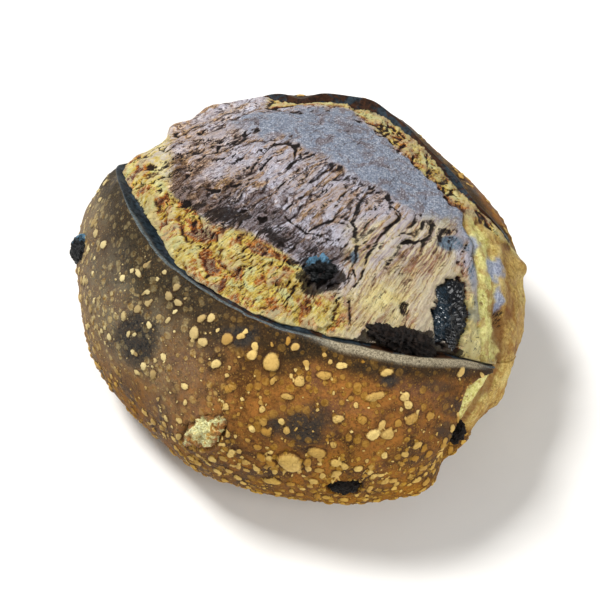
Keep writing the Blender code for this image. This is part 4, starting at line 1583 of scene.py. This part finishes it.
GLOSSY = plum_material("plum_glossy", "000001", "060c14", 0.08, 0.1, 0.05 * MM, 0.38)
CHARRED = plum_material("plum_charred", "050505", "2c2018", 0.0, 0.5, 0.6 * MM, 0.15)
BLUE = plum_material("plum_blue", "030404", "14181a", 0.9, 0.35, 0.4 * MM, 0.2)


def cheese_material():
    """Melted cheese: cream green in the middle, toasted brown to the rim like the crust
    that it broke through, with dark cracks."""
    material, r, shader = new_material("cheese")
    place = r.place()
    cloud = mottle(r, place, 190.0)
    fine = mottle(r, place, 800.0)
    colour = r.mix(fine, "a89a54", "dcdca6")
    colour = r.mix(r.fit(cloud, 0.55, 0.9, 0.0, 0.85), colour, "b0801e")
    rim = r.plus(r.mask("rim"), r.line(cloud, 0.7, -0.35))
    colour = r.mix(r.fit(rim, 0.55, 0.85, 0.0, 0.95), colour, r.mix(fine, "5a340c", "a86c1e"))
    colour = r.mix(r.fit(r.noise(place, 500.0, 5.0, 0.7), 0.6, 0.68, 0.0, 0.9), colour, "2a1a0c")
    r.put(shader.inputs["Base Color"], colour)
    r.put(shader.inputs["Roughness"], r.fit(cloud, 0.0, 1.0, 0.4, 0.65))
    r.put(shader.inputs["Normal"], r.bump(r.noise(place, 900.0, 4.0), 0.8 * MM))
    return material


MELTED = cheese_material()

# %% [markdown]
# ## Plums and cheese: in place
#
# Every piece has its own relief, beads for boiled juice and wrinkles for dried skin, with
# more points where it is large in the picture.

# %% Pieces
add_piece("plum_crown", PLUMS["plum_crown"], 120, 180, wrinkles(5 * MM, 2.4 * MM, 61), BLUE)
add_piece("plum_pocket", PLUMS["plum_pocket"], 240, 380,
          beads(2.2 * MM, 1.7 * MM, 62), GLOSSY, 3.5)
add_piece("plum_seam", PLUMS["plum_seam"], 160, 260, wrinkles(3.5 * MM, 2.4 * MM, 63), CHARRED)
add_piece("plum_side", PLUMS["plum_side"], 120, 180, wrinkles(5 * MM, 1.4 * MM, 64), BLUE)
add_piece("plum_front", PLUMS["plum_front"], 110, 160, wrinkles(3.5 * MM, 1.3 * MM, 65), CHARRED)
add_piece("plum_notch", PLUMS["plum_notch"], 100, 150, wrinkles(3 * MM, 1.3 * MM, 66), CHARRED)
add_piece("cheese_pocket", CHEESE, 140, 240, wrinkles(6 * MM, 2.3 * MM, 67), MELTED)

# %% [markdown]
# ## Floor and light
#
# A pale floor and soft studio light: one large lamp high at the back left for shape, one
# weaker at the front, and a bright even surround.

# %% Floor, lamps and surround
FLOOR_HALF = 3.0


def floor_material():
    """Matt pale card with a faint grain."""
    material, r, shader = new_material("floor")
    cloud = mottle(r, r.place(), 6.0)
    r.put(shader.inputs["Base Color"], r.mix(cloud, "dedcd8", "e4e2de"))
    shader.inputs["Roughness"].default_value = 0.9
    return material


side = np.linspace(-FLOOR_HALF, FLOOR_HALF, 9)
floor_x, floor_y = np.meshgrid(side, side, indexing="xy")
floor_points = np.stack([floor_x, floor_y, 0 * floor_x], -1).reshape(-1, 3)
floor = add_mesh("floor", floor_points, grid_faces(9, 9, False).tolist(), {}, floor_material())


def lamp(name, place, size, power):
    """A square area lamp aimed at the loaf."""
    light = bpy.data.lights.new(name, "AREA")
    light.size = size
    light.energy = power
    made = bpy.data.objects.new(name, light)
    made.location = place
    aim = np.array([0, 0, 0.06]) - np.array(place)
    pitch = math.atan2(math.hypot(aim[0], aim[1]), -aim[2])
    made.rotation_euler = (pitch, 0, math.atan2(-aim[0], aim[1]))
    bpy.context.scene.collection.objects.link(made)
    return made


lamp("key_lamp", (-0.75, 0.5, 1.5), 0.5, 41)
lamp("front_lamp", (0.9, -1.0, 1.0), 0.9, 18)

world = bpy.data.worlds.new("surround")
world.use_nodes = True
world.node_tree.nodes["Background"].inputs["Color"].default_value = (1, 1, 1, 1)
world.node_tree.nodes["Background"].inputs["Strength"].default_value = 0.3
bpy.context.scene.world = world
bpy.context.scene.view_settings.view_transform = "Standard"
